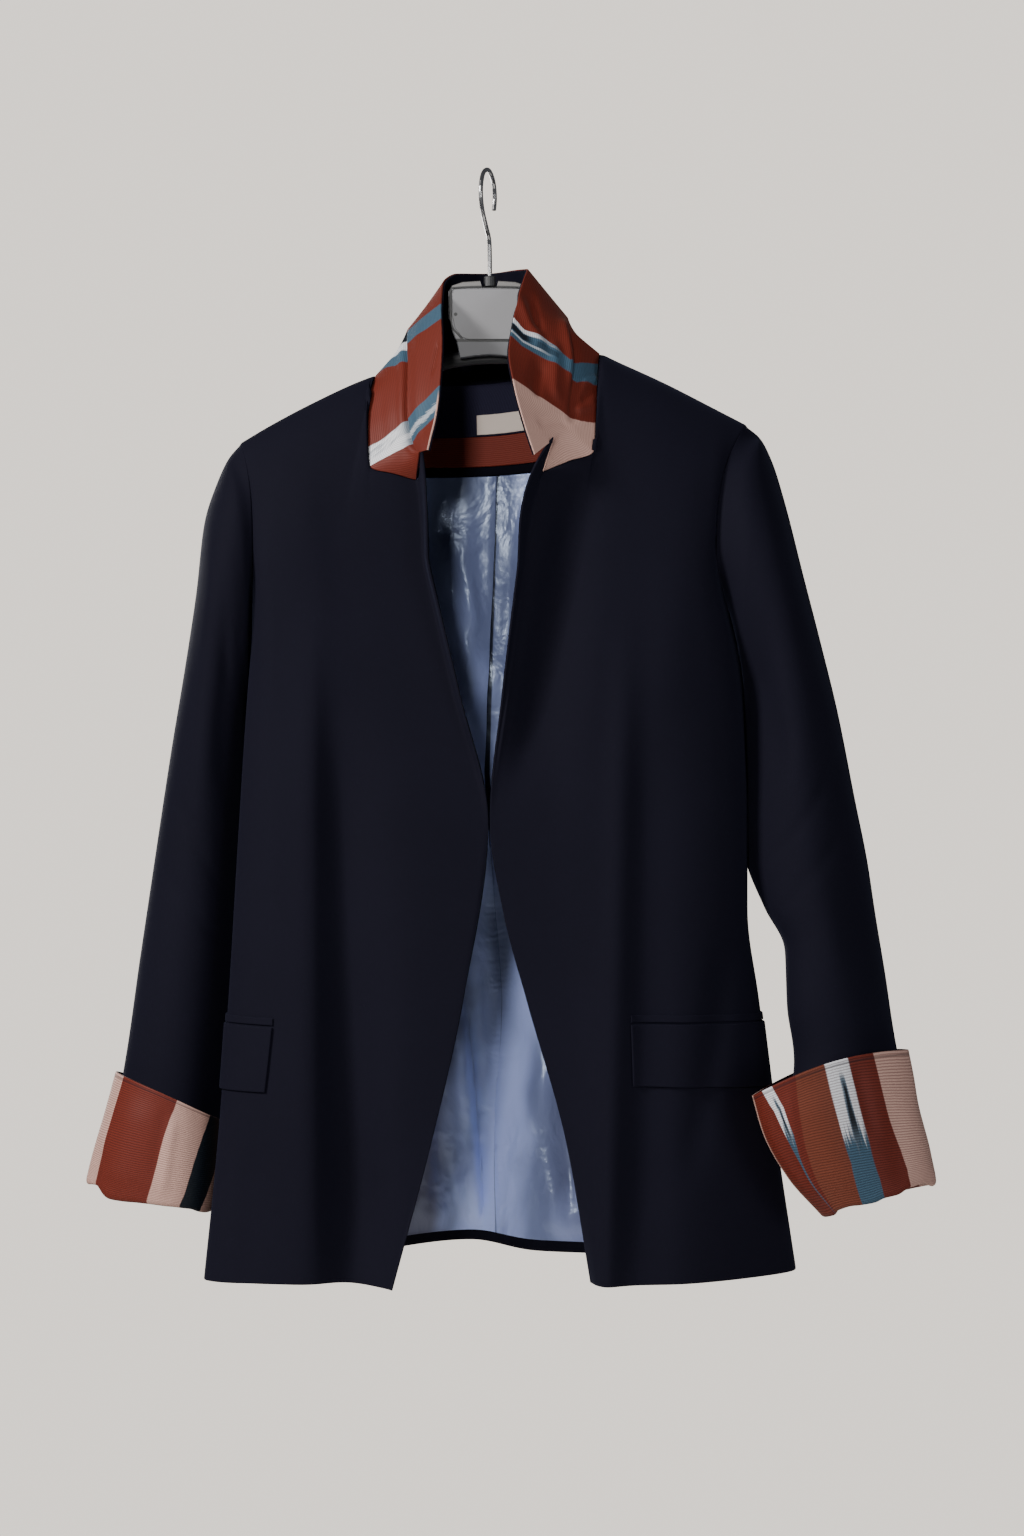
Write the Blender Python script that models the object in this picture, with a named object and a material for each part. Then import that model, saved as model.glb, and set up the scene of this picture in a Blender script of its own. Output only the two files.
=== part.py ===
"""Women's blazer on a hanger, every cut piece its own solid.

Sizes are in millimetres here and metres in the scene. +Z is up, +X is the wearer's left, +Y is
the wearer's back. The origin is the inner top of the hanger's hook, where it bears on a rod.
"""
import math

import bpy
import numpy as np

SHELL = 2.0  # front, back and sleeve cloth with its interlining
COLLAR_CLOTH = 1.3  # each of the collar's two layers
CUFF_CLOTH = 1.6
FACING = 1.2
SATIN = 1.0
FLAP = 2.0
WELT = 1.2
TAPE = 1.0
GAP = 0.3  # between layers, and between pieces at a seam
TURNED = 0.9  # what a piece stands back from a seam where the cloth turns
TOP_GAP = 0.5  # the same at the shoulder and neck seams
UNDERARM = 0.33  # v of the lowest point of the armhole, on fronts and back
UNDERARM_REACH = 0.1  # how far round it in v the pieces stand back further
CORNER_U = 0.28  # u of the neckline's corner on the fronts, where the collar turns sharply
CORNER_REACH = 0.06
CORNER_GAP = 1.0  # what the fronts stand back there besides TOP_GAP
COLLAR_CORNER = 0.37  # the same corner on the collar, as s from its middle
COLLAR_REACH = 0.03
COLLAR_CORNER_GAP = 1.6  # what the collar's foot stands back there besides SEAM_GAP
CHEST = 0.15
EDGE_ZONE = 0.12  # the part of a front's u by each border that follows it
CREASE = 0.38  # part of the collar's width that is stand
CUFF_EASE = 8.5  # what the sleeve stands inside the turn-back halfway down it
FOLD_EASE = 2.4  # the same at the fold, past the turn-back's own cloth
FOLD_DROP = 6.0  # how far the fold hangs below the sleeve's end

# Finishes: linear colour, roughness, metallic.
NAVY = (0.0100, 0.0100, 0.0180, 0.85, 0.0)
STRIPED = (0.200, 0.035, 0.022, 0.55, 0.0)
BRICK = (0.200, 0.035, 0.022, 0.60, 0.0)
STEEL_BLUE = (0.330, 0.410, 0.580, 0.30, 0.0)
CREAM = (0.660, 0.600, 0.530, 0.70, 0.0)
CHROME = (0.750, 0.750, 0.760, 0.15, 1.0)
GREY = (0.300, 0.300, 0.320, 0.40, 0.0)
DARK = (0.040, 0.040, 0.045, 0.45, 0.0)
LOOKS = {
    "collar_under": STRIPED, "cuff_right": STRIPED, "cuff_left": STRIPED, "neck_band": BRICK,
    "lining_right": STEEL_BLUE, "lining_left": STEEL_BLUE, "label": CREAM,
    "hanger_hook": CHROME, "hanger_ferrule": CHROME, "hanger_plate": GREY, "hanger_arms": DARK,
}  # every other piece is NAVY
SHARP = math.radians(40)  # edges that turn more than this stay sharp


def table(text):
    """A table's columns by name; the first column names the rows."""
    rows = [line.split() for line in text.strip().splitlines()]
    return {
        name: np.array([float(row[i + 1]) for row in rows[1:]])
        for i, name in enumerate(rows[0][1:])
    }


def smooth(knots, values, at):
    """Shape-keeping cubic (Fritsch-Carlson slopes) through values along axis 0."""
    values = np.asarray(values, float)
    knots, at = np.asarray(knots, float), np.asarray(at, float)
    step = np.diff(knots).reshape(-1, *[1] * (values.ndim - 1))
    slope = np.diff(values, axis=0) / step
    inner = np.zeros_like(values)
    if len(knots) > 2:
        h0, h1, d0, d1 = step[:-1], step[1:], slope[:-1], slope[1:]
        w0, w1 = 2 * h1 + h0, h1 + 2 * h0
        same = d0 * d1 > 0
        inner[1:-1] = np.where(
            same, (w0 + w1) / (w0 / np.where(same, d0, 1) + w1 / np.where(same, d1, 1)), 0
        )
    inner[0], inner[-1] = slope[0], slope[-1]
    k = np.clip(np.searchsorted(knots, at, side="right") - 1, 0, len(knots) - 2)
    t = ((at - knots[k]) / np.diff(knots)[k]).reshape(-1, *[1] * (values.ndim - 1))
    h = step[k]
    return (
        (1 + 2 * t) * (1 - t) ** 2 * values[k]
        + t * (1 - t) ** 2 * h * inner[k]
        + t**2 * (3 - 2 * t) * values[k + 1]
        - t**2 * (1 - t) * h * inner[k + 1]
    )


# Fronts: u runs from the front edge (0) to the side seam (1), v from neck and shoulder (0) to hem (1).
TOP_RIGHT = table(
    """
    point u x y z
    tip 0 -50.9 -84 -227.3
    gorge 0.05 -53.5 -62 -249.3
    gorge_mid 0.16 -72.0 -61 -244.2
    corner 0.26 -90.8 -57 -238.4
    neck_low 0.34 -92.9 -46 -208.7
    neck_mid 0.4 -93.2 -26 -180.8
    neck 0.46 -88.9 0 -160.7
    neck_out 0.52 -101.1 0 -165.2
    shoulder_mid 0.7 -136.7 0 -181.7
    shoulder_out 0.89 -173.8 0 -201.4
    shoulder 1 -195.1 0 -214.1
    """
)
TOP_LEFT = table(
    """
    point u x y z
    tip 0 51.0 -84 -218.9
    gorge 0.05 42.1 -62 -243.1
    gorge_mid 0.16 62.1 -62 -234.7
    corner 0.26 82.2 -58 -226.6
    neck_low 0.34 84.3 -46 -199.4
    neck_mid 0.4 86.0 -26 -169.0
    neck 0.46 88.9 0 -143.7
    neck_out 0.52 101.1 0 -149.3
    shoulder_mid 0.7 139.0 0 -166.6
    shoulder_out 0.89 180.1 0 -187.6
    shoulder 1 203.8 0 -199.8
    """
)
FRONT_STATIONS = {"edge": 0, "roll": 0.05, "a": 0.26, "b": 0.44, "c": 0.62, "d": 0.77, "e": 0.87, "seam": 1}
LEVELS_RIGHT = table(
    """
    level v z_edge z_b z_seam
    chest 0.15 -312 -311 -310
    underarm 0.33 -419 -420 -421
    waist 0.46 -514 -515 -516
    pocket 0.66 -648 -648 -651
    hip 0.82 -755 -755 -760
    hem 1 -870 -865 -869
    """
) | table(
    """
    level x_edge x_roll x_a x_b x_c x_d x_e x_seam
    chest -47 -49 -84 -115 -144 -168 -177 -182
    underarm -21 -25 -63 -99 -138 -170 -188 -188
    waist 1 -3 -45 -90 -138 -176 -194 -190
    pocket -18 -22 -57 -96 -142 -181 -202 -196
    hip -42 -45 -76 -109 -149 -188 -210 -202
    hem -73 -76 -99 -124 -163 -199 -221 -214
    """
) | table(
    """
    level y_edge y_roll y_a y_b y_c y_d y_e y_seam
    chest -82 -64 -64 -63 -62 -58 -53 -47
    underarm -80 -71 -71 -70 -66 -56 -34 8
    waist -77 -77 -78 -76 -72 -60 -36 22
    pocket -82 -82.5 -83 -80 -76 -64 -38 30
    hip -84 -84 -84 -81 -78 -66 -40 33
    hem -86 -86 -84 -81 -78 -66 -40 34
    """
)
LEVELS_LEFT = table(
    """
    level v z_edge z_b z_seam
    chest 0.15 -312 -311 -309
    underarm 0.33 -419 -419 -419
    waist 0.46 -514 -515 -516
    high_hip 0.56 -581 -581 -583
    pocket 0.66 -649 -648 -651
    hip 0.82 -757 -754 -760
    hem 1 -867 -866 -862
    """
) | table(
    """
    level x_edge x_roll x_a x_b x_c x_d x_e x_seam
    chest 25 32 64 96 129 159 171 177
    underarm 12 17 50 86 129 172 198 203
    waist 2 6 44 85 132 177 203 197
    high_hip 12 16 51 88 134 179 203 202
    pocket 30 34 62 94 138 184 212 207
    hip 60 62 77 95 138 193 226 217
    hem 79 80 84 95 141 204 242 233
    """
) | table(
    """
    level y_edge y_roll y_a y_b y_c y_d y_e y_seam
    chest -82 -66 -63 -64 -63 -58 -53 -46
    underarm -80 -71 -68 -74 -74 -62 -36 8
    waist -77 -77 -78 -82 -80 -66 -34 22
    high_hip -76.5 -77 -79.5 -84 -82 -66 -33 26
    pocket -74 -75 -80 -86 -84 -66 -32 30
    hip -68 -70 -80 -87 -85 -64 -28 33
    hem -60 -64 -78 -88 -87 -60 -22 34
    """
)
# Back: u runs from the wearer's right side seam (0) to the left one (1).
TOP_BACK = table(
    """
    point u x y z
    shoulder_right 0 -195.1 0 -214.1
    out_right 0.1 -173.8 0 -201.4
    mid_right 0.24 -136.7 0 -181.7
    nout_right 0.33 -101.1 0 -165.2
    neck_right 0.36 -88.9 0 -160.7
    turn_right 0.41 -68.3 34 -160.1
    side_right 0.45 -39.1 54 -160.1
    centre 0.5 0.4 60 -158.1
    side_left 0.55 41.6 54 -151.2
    turn_left 0.59 69.4 34 -144.1
    neck_left 0.64 88.9 0 -143.7
    nout_left 0.67 101.1 0 -149.3
    mid_left 0.76 139.0 0 -166.6
    out_left 0.9 180.1 0 -187.6
    shoulder_left 1 203.8 0 -199.8
    """
)
BACK_STATIONS = {
    "seam_r": 0, "f_r": 0.06, "g_r": 0.14, "h_r": 0.27, "i_r": 0.40, "centre": 0.5,
    "i_l": 0.60, "h_l": 0.73, "g_l": 0.86, "f_l": 0.94, "seam_l": 1,
}
LEVELS_BACK = table(
    """
    level v z_seam_r z_h_r z_centre z_h_l z_seam_l
    chest 0.15 -310 -301 -301 -301 -309
    underarm 0.33 -421 -414 -412 -413 -419
    waist 0.46 -516 -513 -512 -513 -516
    pocket 0.66 -651 -648 -644 -648 -651
    hip 0.82 -760 -761 -754 -758 -760
    hem 1 -869 -871 -861 -867 -862
    """
) | table(
    """
    level x_seam_r x_f_r x_g_r x_h_r x_i_r x_centre x_i_l x_h_l x_g_l x_f_l x_seam_l
    chest -191 -185 -171 -120 -62 0 64 123 168 183 188
    underarm -188 -186 -172 -122 -64 0 66 127 184 200 203
    waist -190 -186 -172 -124 -66 0 66 127 180 193 197
    pocket -196 -192 -178 -131 -69 0 68 131 185 201 207
    hip -202 -197 -183 -138 -72 -7 43 127 190 210 217
    hem -214 -209 -193 -145 -71 -15 40 124 198 224 233
    """
) | table(
    """
    level y_seam_r y_f_r y_g_r y_h_r y_i_r y_centre y_i_l y_h_l y_g_l y_f_l y_seam_l
    chest 44 50 57 64 66 66 66 64 57 50 44
    underarm 8 34 54 66 70 72 70 66 54 34 8
    waist 22 44 62 74 78 78 76 74 62 44 22
    pocket 30 52 70 84 92 90 84 80 70 52 30
    hip 33 55 75 92 104 106 82 86 76 55 33
    hem 34 57 78 98 114 124 74 88 80 57 34
    """
)
# Soft folds: a bell across x, moved towards the viewer by deep_*, along a line from top to foot.
FOLDS_RIGHT = table(
    """
    fold x_top z_top x_foot z_foot wide_top wide_foot deep_top deep_foot
    ridge -155 -312 -134 -865 24 27 3 9
    valley -130 -311 -108 -866 27 28 -3 -11
    """
)
FOLDS_LEFT = table(
    """
    fold x_top z_top x_foot z_foot wide_top wide_foot deep_top deep_foot
    ridge 112 -335 89 -864 28 16 3 5
    trough 56 -265 25 -465 35 16 -6 -1
    """
)
FOLDS_BACK = table(
    """
    fold x_top z_top x_foot z_foot wide_top wide_foot deep_top deep_foot
    flute_right -89 -350 -112 -873 32 35 -2 -10
    flute_left 99 -350 124 -873 32 35 -2 -10
    """
)
# Sleeves: rings through their outermost, front, innermost and back points, from the armhole (v 0)
# to the turn-back.
SLEEVE_RIGHT = table(
    """
    ring v out_x out_y out_z front_x front_y front_z in_x in_y in_z back_x back_y back_z
    cap1 0.05 -205 6 -225 -188 -53 -312 -191 11 -422 -200 55 -304
    cap2 0.1 -216 8 -248 -197 -56 -324 -191 12 -427 -209 62 -317
    cap3 0.16 -225 10 -276 -204 -54 -342 -191 12 -435 -216 66 -336
    upper 0.24 -232 12 -334 -211 -48 -383 -191 12 -450 -220 68 -379
    upper2 0.32 -241 12 -393 -216 -42 -430 -193 12 -476 -225 66 -428
    elbow1 0.42 -251 12 -453 -220 -40 -476 -195 12 -512 -229 62 -476
    elbow2 0.56 -265 12 -545 -228 -38 -558 -199 12 -580 -236 58 -561
    fore 0.7 -277 10 -627 -236 -38 -636 -204 12 -653 -246 52 -642
    wrist 0.82 -287 8 -698 -243 -37 -712 -212 10 -726 -252 48 -720
    """
)
SLEEVE_LEFT = table(
    """
    ring v out_x out_y out_z front_x front_y front_z in_x in_y in_z back_x back_y back_z
    cap1 0.05 215 6 -209 191 -54 -298 207 12 -421 200 55 -291
    cap2 0.1 225 6 -228 202 -60 -310 206 13 -426 212 62 -302
    cap3 0.16 235 6 -260 215 -62 -332 206 13 -433 224 64 -325
    upper 0.24 249 4 -316 227 -62 -372 205 10 -449 236 62 -367
    upper2 0.32 263 0 -372 235 -62 -418 204 4 -472 244 57 -416
    elbow1 0.42 276 -4 -427 241 -64 -465 204 -4 -508 249 50 -464
    elbow2 0.54 289 -10 -496 247 -67 -518 204 -14 -545 255 40 -521
    elbow3 0.62 298 -15 -543 254 -71 -561 216 -28 -580 263 30 -564
    fore 0.69 304 -20 -586 262 -75 -600 231 -38 -612 270 18 -604
    fore2 0.77 311 -27 -633 268 -80 -643 232 -46 -655 277 4 -646
    wrist 0.85 317 -32 -677 274 -84 -686 237 -52 -698 281 -14 -690
    """
)
CUFF_RIGHT = table(
    """
    ring v out_x out_y out_z front_x front_y front_z in_x in_y in_z back_x back_y back_z
    rim 0 -294 5 -711 -244 -52 -726 -210 4 -749 -254 60 -733
    upper 0.35 -303 5 -744 -247 -50 -753 -211 4 -770 -258 58 -759
    lower 0.72 -313 5 -778 -250 -47 -787 -214 4 -795 -262 51 -787
    fold 1 -317 4 -795 -252 -44 -810 -217 4 -815 -265 48 -806
    """
)
CUFF_LEFT = table(
    """
    ring v out_x out_y out_z front_x front_y front_z in_x in_y in_z back_x back_y back_z
    rim 0 327 -36 -690 261 -108 -693 203 -82 -721 271 -4 -700
    upper 0.35 336 -37 -734 269 -104 -731 212 -78 -751 279 -4 -739
    lower 0.72 345 -38 -770 282 -97 -772 232 -70 -786 292 -4 -780
    fold 1 348 -39 -790 296 -91 -799 257 -60 -814 307 -6 -805
    """
)
# Collar: from the right gorge (s 0) round the neck to the left one (s 1).
COLLAR = table(
    """
    station s seam_x seam_y seam_z crease_x crease_y crease_z edge_x edge_y edge_z
    end_right 0 -53.5 -62 -249.3 -51.8 -80 -229.9 -46.0 -97 -230.8
    gorge_right 0.06 -72.0 -61 -244.2 -56.6 -72 -226.0 -43.3 -96 -219.4
    corner_right 0.12 -90.8 -57 -238.4 -61.4 -66 -211.6 -39.3 -90 -202.0
    low_right 0.18 -92.9 -46 -208.7 -64.1 -58 -189.9 -36.5 -78 -175.4
    mid_right 0.23 -93.2 -26 -180.8 -64.1 -40 -163.0 -35.4 -58 -144.4
    neck_right 0.29 -88.9 0 -160.7 -65.6 -12 -136.7 -36.8 -30 -111.8
    turn_right 0.37 -68.3 34 -160.1 -63.2 24 -120.7 -36.1 8 -86.4
    side_right 0.43 -39.1 54 -160.1 -39.1 50 -125.9 -25.9 34 -74.8
    centre 0.5 0.4 60 -158.1 0.3 62 -122.7 0.4 49 -72.5
    side_left 0.57 41.6 54 -151.2 41.5 52 -117.6 18.2 38 -71.8
    turn_left 0.64 69.4 34 -144.1 63.7 26 -111.6 31.6 8 -75.2
    neck_left 0.71 88.9 0 -143.7 62.4 -12 -124.1 24.8 -26 -99.5
    mid_left 0.77 86.0 -26 -169.0 64.9 -36 -150.8 19.3 -46 -128.0
    low_left 0.82 84.3 -46 -199.4 61.4 -56 -183.5 16.7 -68 -151.1
    corner_left 0.88 82.2 -58 -226.6 58.2 -68 -203.4 20.5 -86 -177.1
    gorge_left 0.94 62.1 -62 -234.7 53.5 -74 -216.3 28.1 -96 -207.2
    end_left 1 42.1 -62 -243.1 50.3 -80 -220.0 37.9 -97 -236.9
    """
)
# Where the collar's stations sit on the pieces it is sewn to.
SEWN = table(
    """
    station s piece u
    end_right 0 0 0.05
    gorge_right 0.06 0 0.16
    corner_right 0.12 0 0.26
    low_right 0.18 0 0.34
    mid_right 0.23 0 0.40
    neck_right 0.29 0 0.46
    neck_right_back 0.29 1 0.36
    turn_right 0.37 1 0.41
    side_right 0.43 1 0.45
    centre 0.5 1 0.5
    side_left 0.57 1 0.55
    turn_left 0.64 1 0.59
    neck_left_back 0.71 1 0.64
    neck_left 0.71 2 0.46
    mid_left 0.77 2 0.40
    low_left 0.82 2 0.34
    corner_left 0.88 2 0.26
    gorge_left 0.94 2 0.16
    end_left 1 2 0.05
    """
)


def columns(rows, prefix, names):
    """The columns prefix_name side by side."""
    return np.stack([rows[f"{prefix}_{name}"] for name in names], axis=1)


def top_line(rows, u):
    """The upper border of a panel, (n, 3)."""
    return smooth(rows["u"], np.stack([rows["x"], rows["y"], rows["z"]], axis=1), u)


def folded(points, folds, outward):
    """points moved in y by each fold: depth * exp(-((x - line(z)) / width)^2), eased in from its top."""
    x, y, z = points[..., 0], points[..., 1].copy(), points[..., 2]
    for i in range(len(folds["x_top"])):
        t = (folds["z_top"][i] - z) / (folds["z_top"][i] - folds["z_foot"][i])
        c = np.clip(t, 0, 1.2)
        ease = np.clip(t + 0.15, 0, 1)
        ease = ease * ease * (3 - 2 * ease)
        line = folds["x_top"][i] + t * (folds["x_foot"][i] - folds["x_top"][i])
        wide = folds["wide_top"][i] + c * (folds["wide_foot"][i] - folds["wide_top"][i])
        deep = folds["deep_top"][i] + c * (folds["deep_foot"][i] - folds["deep_top"][i])
        y += outward * deep * ease * np.exp(-(((x - line) / wide) ** 2))
    return np.stack([x, y, z], axis=-1)


def panel(top, levels, stations, folds, outward, u, v):
    """Points (v, u, 3). Above the chest level each column is a quarter ellipse, level where it
    leaves the shoulder and upright at the chest; by a front's two borders it moves in x sooner.
    Below the chest the columns are cubics through the levels."""
    names, at = list(stations), list(stations.values())
    heights = [name[2:] for name in levels if name.startswith("z_")]
    x = smooth(at, columns(levels, "x", names).T, u)
    y = smooth(at, columns(levels, "y", names).T, u)
    z = smooth([stations[h] for h in heights], columns(levels, "z", heights).T, u)
    rows = np.stack([x.T, y.T, z.T], axis=-1)
    low = smooth(levels["v"], rows, np.maximum(v, CHEST))
    start = top_line(top, u)
    turn = np.clip(np.asarray(v) / CHEST, 0, 1) * math.pi / 2
    down = (1 - np.cos(turn))[:, None]
    quick = 1 - (1 - down) ** 3
    near = (np.maximum(EDGE_ZONE - u, u - (1 - EDGE_ZONE)) / EDGE_ZONE).clip(0, 1) * (outward < 0)
    deep = np.sin(turn)[:, None] + 0 * near
    weight = np.stack([down + (quick - down) * near, deep, down + 0 * near], axis=-1)
    high = start[None] + (rows[0] - start)[None] * weight
    points = np.where((np.asarray(v) < CHEST)[:, None, None], high, low)
    return folded(points, folds, outward)


def front_right(u, v):
    return panel(TOP_RIGHT, LEVELS_RIGHT, FRONT_STATIONS, FOLDS_RIGHT, -1, u, v)


def front_left(u, v):
    return panel(TOP_LEFT, LEVELS_LEFT, FRONT_STATIONS, FOLDS_LEFT, -1, u, v)


def back(u, v):
    return panel(TOP_BACK, LEVELS_BACK, BACK_STATIONS, FOLDS_BACK, 1, u, v)


def by_length(line, parts):
    """The points of a polyline at these parts of its length."""
    run = np.concatenate([[0], np.cumsum(np.linalg.norm(np.diff(line, axis=0), axis=1))])
    at = np.asarray(parts) * run[-1]
    return np.stack([np.interp(at, run, line[:, i]) for i in range(3)], axis=1)


def armhole(front, back_u, turn):
    """The armhole seam at these turns: 0 at the shoulder, down the front to 0.5, and up the back."""
    v = UNDERARM * (1 - np.cos(np.linspace(0, math.pi / 2, 60)))
    fore = front(np.array([1.0]), v)[:, 0]
    aft = back(np.array([back_u]), v)[:, 0]
    turn = np.asarray(turn)
    half = np.where(turn <= 0.5, turn * 2, 2 - turn * 2)
    return np.where((turn <= 0.5)[:, None], by_length(fore, half), by_length(aft, half))


def ring(rows, turn):
    """Each row's ring, (rows, turns, 3): out cos^2 + front sin^2 and so on, through its four points."""
    c, s = np.cos(2 * math.pi * turn)[None, :, None], np.sin(2 * math.pi * turn)[None, :, None]
    out, fore, inner, aft = (
        np.stack([rows[f"{p}_{a}"] for a in "xyz"], axis=1)[:, None] for p in ("out", "front", "in", "back")
    )
    return (out + inner) / 2 * c * c + (fore + aft) / 2 * s * s + (out - inner) / 2 * c + (fore - aft) / 2 * s


def shrunk(loops, by):
    """Each ring drawn in towards its middle by this many millimetres."""
    away = loops - loops.mean(axis=1, keepdims=True)
    return loops - away / np.linalg.norm(away, axis=-1, keepdims=True) * by


def sleeve(rows, cuff_rows, front, back_u, turn, v):
    """From the armhole through the tabled rings; the last two follow the cuff, inside it."""
    turn = np.asarray(turn)
    first = armhole(front, back_u, turn)
    cuff = smooth(cuff_rows["v"], ring(cuff_rows, turn), [0.5, 0.92])
    ends = np.concatenate([shrunk(cuff[:1], CUFF_EASE), shrunk(cuff[1:], CUFF_CLOTH + FOLD_EASE)])
    knots = np.concatenate([[0], rows["v"], [0.92, 1]])
    return smooth(knots, np.concatenate([first[None], ring(rows, turn), ends]), v)


def seam_line(s):
    """The neck seam at these stations of the collar."""
    s = np.asarray(s, float)
    out = np.zeros((len(s), 3))
    for piece, rows in enumerate((TOP_RIGHT, TOP_BACK, TOP_LEFT)):
        mine = SEWN["piece"] == piece
        here = (s >= SEWN["s"][mine].min()) & (s <= SEWN["s"][mine].max())
        out[here] = top_line(rows, np.interp(s[here], SEWN["s"][mine], SEWN["u"][mine]))
    return out


def collar(s, t):
    """Points (s, t, 3): t runs from the neck seam over the crease to the free edge."""
    crease = smooth(COLLAR["s"], np.stack([COLLAR["crease_" + a] for a in "xyz"], axis=1), s)
    edge = smooth(COLLAR["s"], np.stack([COLLAR["edge_" + a] for a in "xyz"], axis=1), s)
    seam = seam_line(s)
    t = np.asarray(t)[None, :, None]
    stand = seam[:, None] + (crease - seam)[:, None] * np.clip(t / CREASE, 0, 1)
    over = np.clip((t - CREASE) / (1 - CREASE), 0, 1)
    return stand + (edge - crease)[:, None] * over


def normals(points, closed=False):
    """Unit d/du x d/dv on a grid (v, u, 3)."""
    if closed:
        du = np.roll(points, -1, axis=1) - np.roll(points, 1, axis=1)
    else:
        du = np.gradient(points, axis=1)
    n = np.cross(du, np.gradient(points, axis=0))
    return n / np.maximum(np.linalg.norm(n, axis=-1, keepdims=True), 1e-9)


def peak(at, middle, reach):
    """A bell of height 1 over middle that has fallen to 1/e at reach from it."""
    return np.exp(-(((at - middle) / reach) ** 2))


def inset(points, top=0.0, foot=0.0, first=0.0, last=0.0):
    """The grid with each border moved this far inwards, along the grid."""
    points = points.copy()

    def pull(a, b, by):
        step = b - a
        return a + step * (by / np.maximum(np.linalg.norm(step, axis=-1, keepdims=True), 1e-6))

    points[:, 0] = pull(points[:, 0], points[:, 1], np.reshape(first, (-1, 1)))
    points[:, -1] = pull(points[:, -1], points[:, -2], np.reshape(last, (-1, 1)))
    points[0] = pull(points[0], points[1], np.reshape(top, (-1, 1)))
    points[-1] = pull(points[-1], points[-2], foot)
    return points


def side_gap(v):
    """How far fronts and back stand back from armhole and side seam: twice TURNED at the underarm."""
    return TURNED * (1 + peak(v, UNDERARM, UNDERARM_REACH))


def solid(name, points, faces):
    """An object from points in millimetres, smooth but for its sharp edges, with its own material."""
    mesh = bpy.data.meshes.new(name)
    mesh.from_pydata((np.asarray(points) * 0.001).tolist(), [], [list(map(int, face)) for face in faces])
    mesh.update()
    mesh.shade_smooth()
    mesh.set_sharp_from_angle(angle=SHARP)
    *tone, rough, metal = LOOKS.get(name, NAVY)
    material = bpy.data.materials.new(name)
    material.use_nodes = True
    shader = material.node_tree.nodes["Principled BSDF"]
    shader.inputs["Base Color"].default_value = (*tone, 1)
    shader.inputs["Roughness"].default_value = rough
    shader.inputs["Metallic"].default_value = metal
    mesh.materials.append(material)
    obj = bpy.data.objects.new(name, mesh)
    bpy.context.scene.collection.objects.link(obj)
    return obj


def wall(name, points, normal, near, far, sign, closed=False):
    """A cloth wall from the grid moved by near to the grid moved by far, along its outward side."""
    rows, cols = points.shape[:2]
    normal = normal * sign
    outer, inner = points + normal * near, points + normal * far
    i, j = np.meshgrid(np.arange(rows - 1), np.arange(cols if closed else cols - 1), indexing="ij")
    k = (j + 1) % cols
    a, b, c, d = i * cols + j, i * cols + k, (i + 1) * cols + k, (i + 1) * cols + j
    flat = points.reshape(-1, 3)
    short = np.linalg.norm(flat[a] - flat[c], axis=-1) <= np.linalg.norm(flat[b] - flat[d], axis=-1)
    short = short[..., None]
    one = np.where(short, np.stack([a, b, c], -1), np.stack([a, b, d], -1)).reshape(-1, 3)
    two = np.where(short, np.stack([a, c, d], -1), np.stack([b, c, d], -1)).reshape(-1, 3)
    skin = np.concatenate([one, two])
    n = rows * cols
    grid = np.arange(n).reshape(rows, cols)
    if closed:
        loops = [np.append(grid[0], grid[0, 0]), np.append(grid[-1], grid[-1, 0])[::-1]]
    else:
        loops = [np.concatenate([grid[0], grid[1:, -1], grid[-1, -2::-1], grid[-2::-1, 0]])]
    rims = []
    for loop in loops:
        p, q = loop[:-1], loop[1:]
        rims += [np.stack([q, p, p + n], -1), np.stack([q, p + n, q + n], -1)]
    faces = np.concatenate([skin, skin[:, ::-1] + n, *rims])
    if sign < 0:
        faces = faces[:, ::-1]
    return solid(name, np.concatenate([outer.reshape(-1, 3), inner.reshape(-1, 3)]), faces)


def between(lines, low, high):
    """The slice of sorted grid lines from low to high, both included."""
    lines = np.asarray(lines)
    return slice(int(np.argmin(abs(lines - low))), int(np.argmin(abs(lines - high))) + 1)


def lines(*parts):
    """Grid lines from numbers and tuples of numbers, sorted, each once."""
    return np.array(sorted({round(float(p), 5) for part in parts for p in np.atleast_1d(part)}))


# Grid lines. Those that border a smaller piece are named by it.
FACING_U = (0.025, 0.20)
FACING_V = (0.017, 0.94)
LEVEL_V = (0, 0.034, 0.055, 0.08, 0.112, CHEST, 0.2, 0.265, UNDERARM, 0.40, 0.46, 0.53, 0.60)
FLAP_V = (0.684, 0.763)
WELT_V = (0.6735, 0.6815)
FLAP_RIGHT_U = (0.70, 0.97)
FLAP_LEFT_U = (0.508, 0.91)
FRONT_V = lines(LEVEL_V, WELT_V, FLAP_V, 0.722, 0.82, 0.88, FACING_V, 1)
NECKLINE_U = (0, *FACING_U, 0.05, 0.11, 0.26, 0.30, 0.34, 0.40, 0.46)
RIGHT_U = lines(NECKLINE_U, 0.54, 0.62, FLAP_RIGHT_U, 0.77, 0.83, 0.87, 0.92, 1)
LEFT_U = lines(NECKLINE_U, FLAP_LEFT_U, 0.57, 0.62, 0.70, 0.77, 0.83, 0.87, 0.955, 1)

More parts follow.
